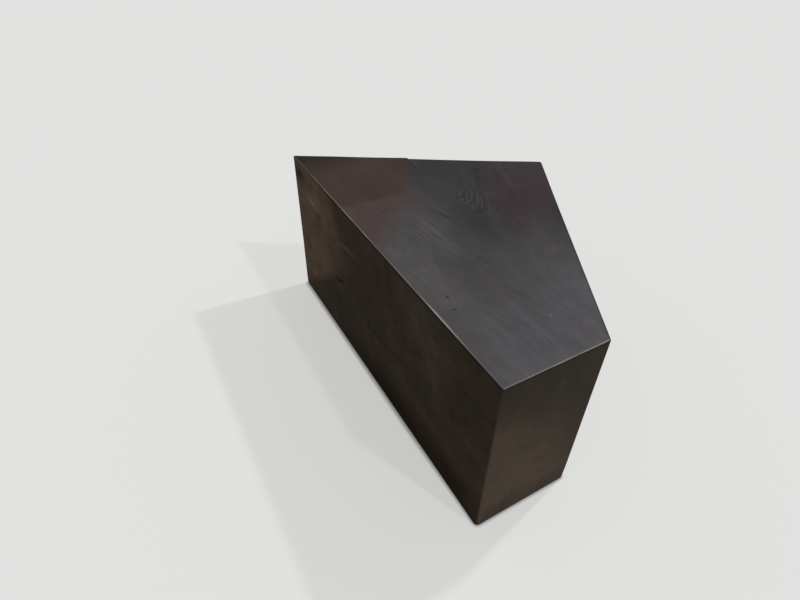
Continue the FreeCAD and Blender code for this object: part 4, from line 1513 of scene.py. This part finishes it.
def long_side_boards() -> list[SideBoard]:
    """Chooses the boards of the long side, their cut and their marks.

    Returns:
        The boards.
    """
    def line(along: float, up: float, way: Pair, reach: float) -> Border:
        """Draws a border on the long side through a place along and up."""
        return border(along, 0.0, up, (way[0], 0.0, way[1]), reach)

    # Painted reflection: the long side turns lighter towards the sharp corner.
    painted_reflection_end = Zone((0.1385, 0.096, 0.067), (
        line(0.40, 0.2, (-1.0, 0.0), 0.22),
        line(0.1375, 0.0844, (-0.625, 0.78), 0.045),
    ), 0.012)
    dim_top = Zone((0.058, 0.044, 0.031), (
        line(0.255, 0.375, (0.8, 0.6), 0.07),
        line(0.50, 0.36, (-1.0, 0.0), 0.12),
    ), 0.03)
    lighter = Zone((0.076, 0.060, 0.045), (
        line(0.60, 0.38, (0.8, 0.6), 0.10),
        line(0.88, 0.38, (-1.0, 0.0), 0.12),
    ), 0.03)
    # Painted shade: the long side darkens towards the floor.
    painted_foot_shade = Zone((0.030, 0.020, 0.0115), (
        line(0.0, 0.135, (0.0, -1.0), 0.11),
        line(0.18, 0.1, (1.0, 0.0), 0.34),
        line(1.02, 0.1, (-1.0, 0.0), 0.14),
    ), 0.015)
    zones = (painted_reflection_end, dim_top, lighter)
    tone = (0.059, 0.045, 0.0320)
    dull = {"contrast": 0.24, "cloud": 0.5, "specular": 0.004}
    low_log = Log(PLAN.spot(0.4, 0.06, 0.06), (0.0, -4.0, 0.0), 0.009)
    high_log = Log(PLAN.spot(0.4, 0.09, 0.62), (0.0, -1.0, 0.0), 0.008)
    lower = StainedWood("stained_long_lower", low_log, tone, (*zones, painted_foot_shade), **dull)
    upper = StainedWood("stained_long_upper", high_log, tone, zones, **dull)
    hairline = (
        (0.44, 0.172), (0.48, 0.179), (0.55, 0.185), (0.60, 0.194),
        (0.64, 0.207), (0.69, 0.222), (0.70, 0.225),
    )
    marks = (
        Mark((0.285, 0.205), (0.028, 0.006), 19.0, 0.0012, 0.9),
        Mark((0.038, 0.417), (0.042, 0.026), 4.0, dark=0.6),
        Mark((0.168, 0.345), (0.012, 0.009), -20.0, dark=0.6),
        Mark((0.155, 0.305), (0.035, 0.030), 20.0, dark=0.35),
        Mark((0.240, 0.290), (0.022, 0.009), 20.0, dark=0.22),
        Mark((0.045, 0.300), (0.025, 0.014), dark=0.22),
        Mark((0.47, 0.28), (0.09, 0.12), dark=0.12),
        Mark((0.345, 0.366), (0.030, 0.0045), 25.0, dark=0.25),
        Mark((0.058, 0.187), (0.014, 0.013), dark=0.32),
        Mark((0.110, 0.183), (0.036, 0.0045), 22.0, dark=0.32),
        Mark((0.135, 0.155), (0.020, 0.010), 20.0, dark=0.2),
        Mark((0.570, 0.110), (0.045, 0.012), 2.0, dark=0.28),
        Mark((0.790, 0.090), (0.080, 0.014), dark=0.25),
        Mark((0.765, 0.248), (0.009, 0.008), 45.0, dark=0.42),
        Mark((0.852, 0.245), (0.009, 0.010), dark=0.36),
        Mark((0.608, 0.308), (0.011, 0.009), 45.0, dark=0.40),
        Mark((0.710, 0.300), (0.016, 0.009), 10.0, dark=0.30),
        Mark((0.937, 0.190), (0.020, 0.016), dark=0.18),
        Mark((0.905, 0.145), (0.022, 0.014), dark=0.18),
        Mark((0.125, 0.367), (0.030, 0.009), -6.0, pale=0.40),
        Mark((0.140, 0.386), (0.055, 0.018), 5.0, pale=0.10),
        Mark((0.050, 0.337), (0.015, 0.009), 20.0, pale=0.12),
        Mark((0.300, 0.334), (0.022, 0.007), 5.0, pale=0.30),
        Mark((0.25, 0.352), (0.05, 0.012), 2.0, pale=0.12),
        # Painted highlight: a pale stripe up the fold at the front corner.
        Mark((0.9815, 0.25), (0.0015, 0.35), pale=0.3),
        Mark((0.362, 0.350), (0.045, 0.008), 4.0, pale=0.40),
        Mark((0.040, 0.236), (0.030, 0.011), 5.0, pale=0.08),
        Mark((0.185, 0.225), (0.035, 0.022), 30.0, pale=0.06),
        Mark((0.060, 0.140), (0.030, 0.020), 30.0, pale=0.07),
        Mark((0.100, 0.105), (0.035, 0.012), 38.0, pale=0.07),
        Mark((0.470, 0.160), (0.060, 0.008), 6.0, pale=0.10),
        Mark((0.505, 0.430), (0.045, 0.018), pale=0.12),
        Mark((0.575, 0.245), (0.014, 0.020), pale=0.07),
        Mark((0.915, 0.222), (0.040, 0.014), -3.0, pale=0.12),
    )
    edges = {"edge_shade": 0.55, "corner_rub": (0.05, 0.12)}
    return [
        SideBoard(Side.LONG_SIDE, SideBand.LOWER, lower, 0.004, marks, Check(hairline), **edges),
        SideBoard(Side.LONG_SIDE, SideBand.UPPER, upper, 0.004, marks, **edges),
    ]


def short_end_boards() -> list[SideBoard]:
    """Chooses the board of the short end, its cut and its marks.

    Returns:
        The board, in a list.
    """
    face = PLAN.long_side
    # Painted shade: the short end darkens towards the top and the back corner.
    painted_head_shade = Zone((0.052, 0.0415, 0.0295), (
        border(face, 0.02, 0.29, (0.0, 0.3, 0.954), 0.13),
        border(face, 0.09, 0.18, (0.0, 0.83, 0.558), 0.19),
    ), 0.012, True)
    # Painted shade: the short end darkens towards the floor.
    painted_end_foot_shade = Zone((0.078, 0.058, 0.042), (border(face, 0.0, 0.09, (0.0, 0.0, -1.0), 0.06),), 0.01)
    log = Log(PLAN.spot(0.90, -0.10, 0.2), (0.0, -88.0, 0.0), 0.008)
    finish = StainedWood("stained_short_end", log, (0.100, 0.075, 0.055), (painted_head_shade, painted_end_foot_shade), 0.14, 0.25)
    marks = (
        Mark((0.122, 0.405), (0.020, 0.012), 120.0, dark=0.14),
        Mark((0.180, 0.385), (0.030, 0.014), 90.0, dark=0.12),
        Mark((0.200, 0.340), (0.020, 0.014), 110.0, dark=0.14),
        Mark((0.027, 0.345), (0.015, 0.010), 90.0, dark=0.14),
        Mark((0.085, 0.240), (0.020, 0.008), 150.0, dark=0.14),
        Mark((0.140, 0.268), (0.012, 0.008), 110.0, dark=0.14),
        Mark((0.135, 0.152), (0.015, 0.008), 150.0, dark=0.14),
        Mark((0.160, 0.098), (0.014, 0.009), 100.0, dark=0.14),
        Mark((0.075, 0.050), (0.030, 0.014), 70.0, dark=0.18),
        Mark((0.151, 0.394), (0.020, 0.008), 90.0, pale=0.12),
        Mark((0.025, 0.310), (0.020, 0.012), 110.0, pale=0.05),
        Mark((0.090, 0.305), (0.020, 0.008), 100.0, pale=0.05),
        Mark((0.205, 0.072), (0.020, 0.014), pale=0.10),
        # Painted highlight on the foot of the front corner, standing in for its rounding.
        Mark((0.004, 0.020), (0.030, 0.004), 90.0, pale=0.15),
    )
    return [SideBoard(Side.SHORT_END, SideBand.UPRIGHT, finish, 0.004, marks, None, 0.1, 0.45, (0.10, 0.05))]


def rear_boards() -> list[SideBoard]:
    """Chooses the boards of the two back sides and their cut.

    Returns:
        The boards.
    """
    # Painted shade: the back sides darken in the last few centimetres above the floor.
    painted_low_shade = Zone((0.036, 0.026, 0.018), (border(0.0, 0.0, 0.03, (0.0, 0.0, -1.0), 0.025),), 0.006)
    logs = {
        Side.BACK_RIGHT: (((0.75, 0.30, 0.05), (0.0, 2.0, 150.0)), ((0.75, 0.26, 0.60), (0.0, -1.5, 150.0))),
        Side.BACK_LEFT: (((0.22, 0.28, 0.04), (0.0, -3.0, 240.0)), ((0.24, 0.26, 0.63), (0.0, 1.0, 240.0))),
    }
    bands = ((SideBand.LOWER, 0.009, (painted_low_shade,)), (SideBand.UPPER, 0.008, ()))
    boards = []
    for side, cuts in logs.items():
        for (band, ring, zones), (pith, turn) in zip(bands, cuts):
            name = f"stained_{side.name}_{band.name}".lower()
            finish = StainedWood(name, Log(PLAN.spot(*pith), turn, ring), (0.056, 0.041, 0.028), zones)
            boards.append(SideBoard(side, band, finish))
    return boards


def main() -> None:
    """Builds the boards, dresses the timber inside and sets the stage."""
    logging.basicConfig(level=logging.INFO, format="%(name)s: %(message)s")
    for board in [*top_boards(), *long_side_boards(), *short_end_boards(), *rear_boards()]:
        piece = board.build()
        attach(piece, "root")
        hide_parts(board.name)
        LOG.info("built %s with %d faces", piece.name, len(piece.data.polygons))
    Inside().dress()
    Studio().build()


if __name__ == "__main__":
    main()
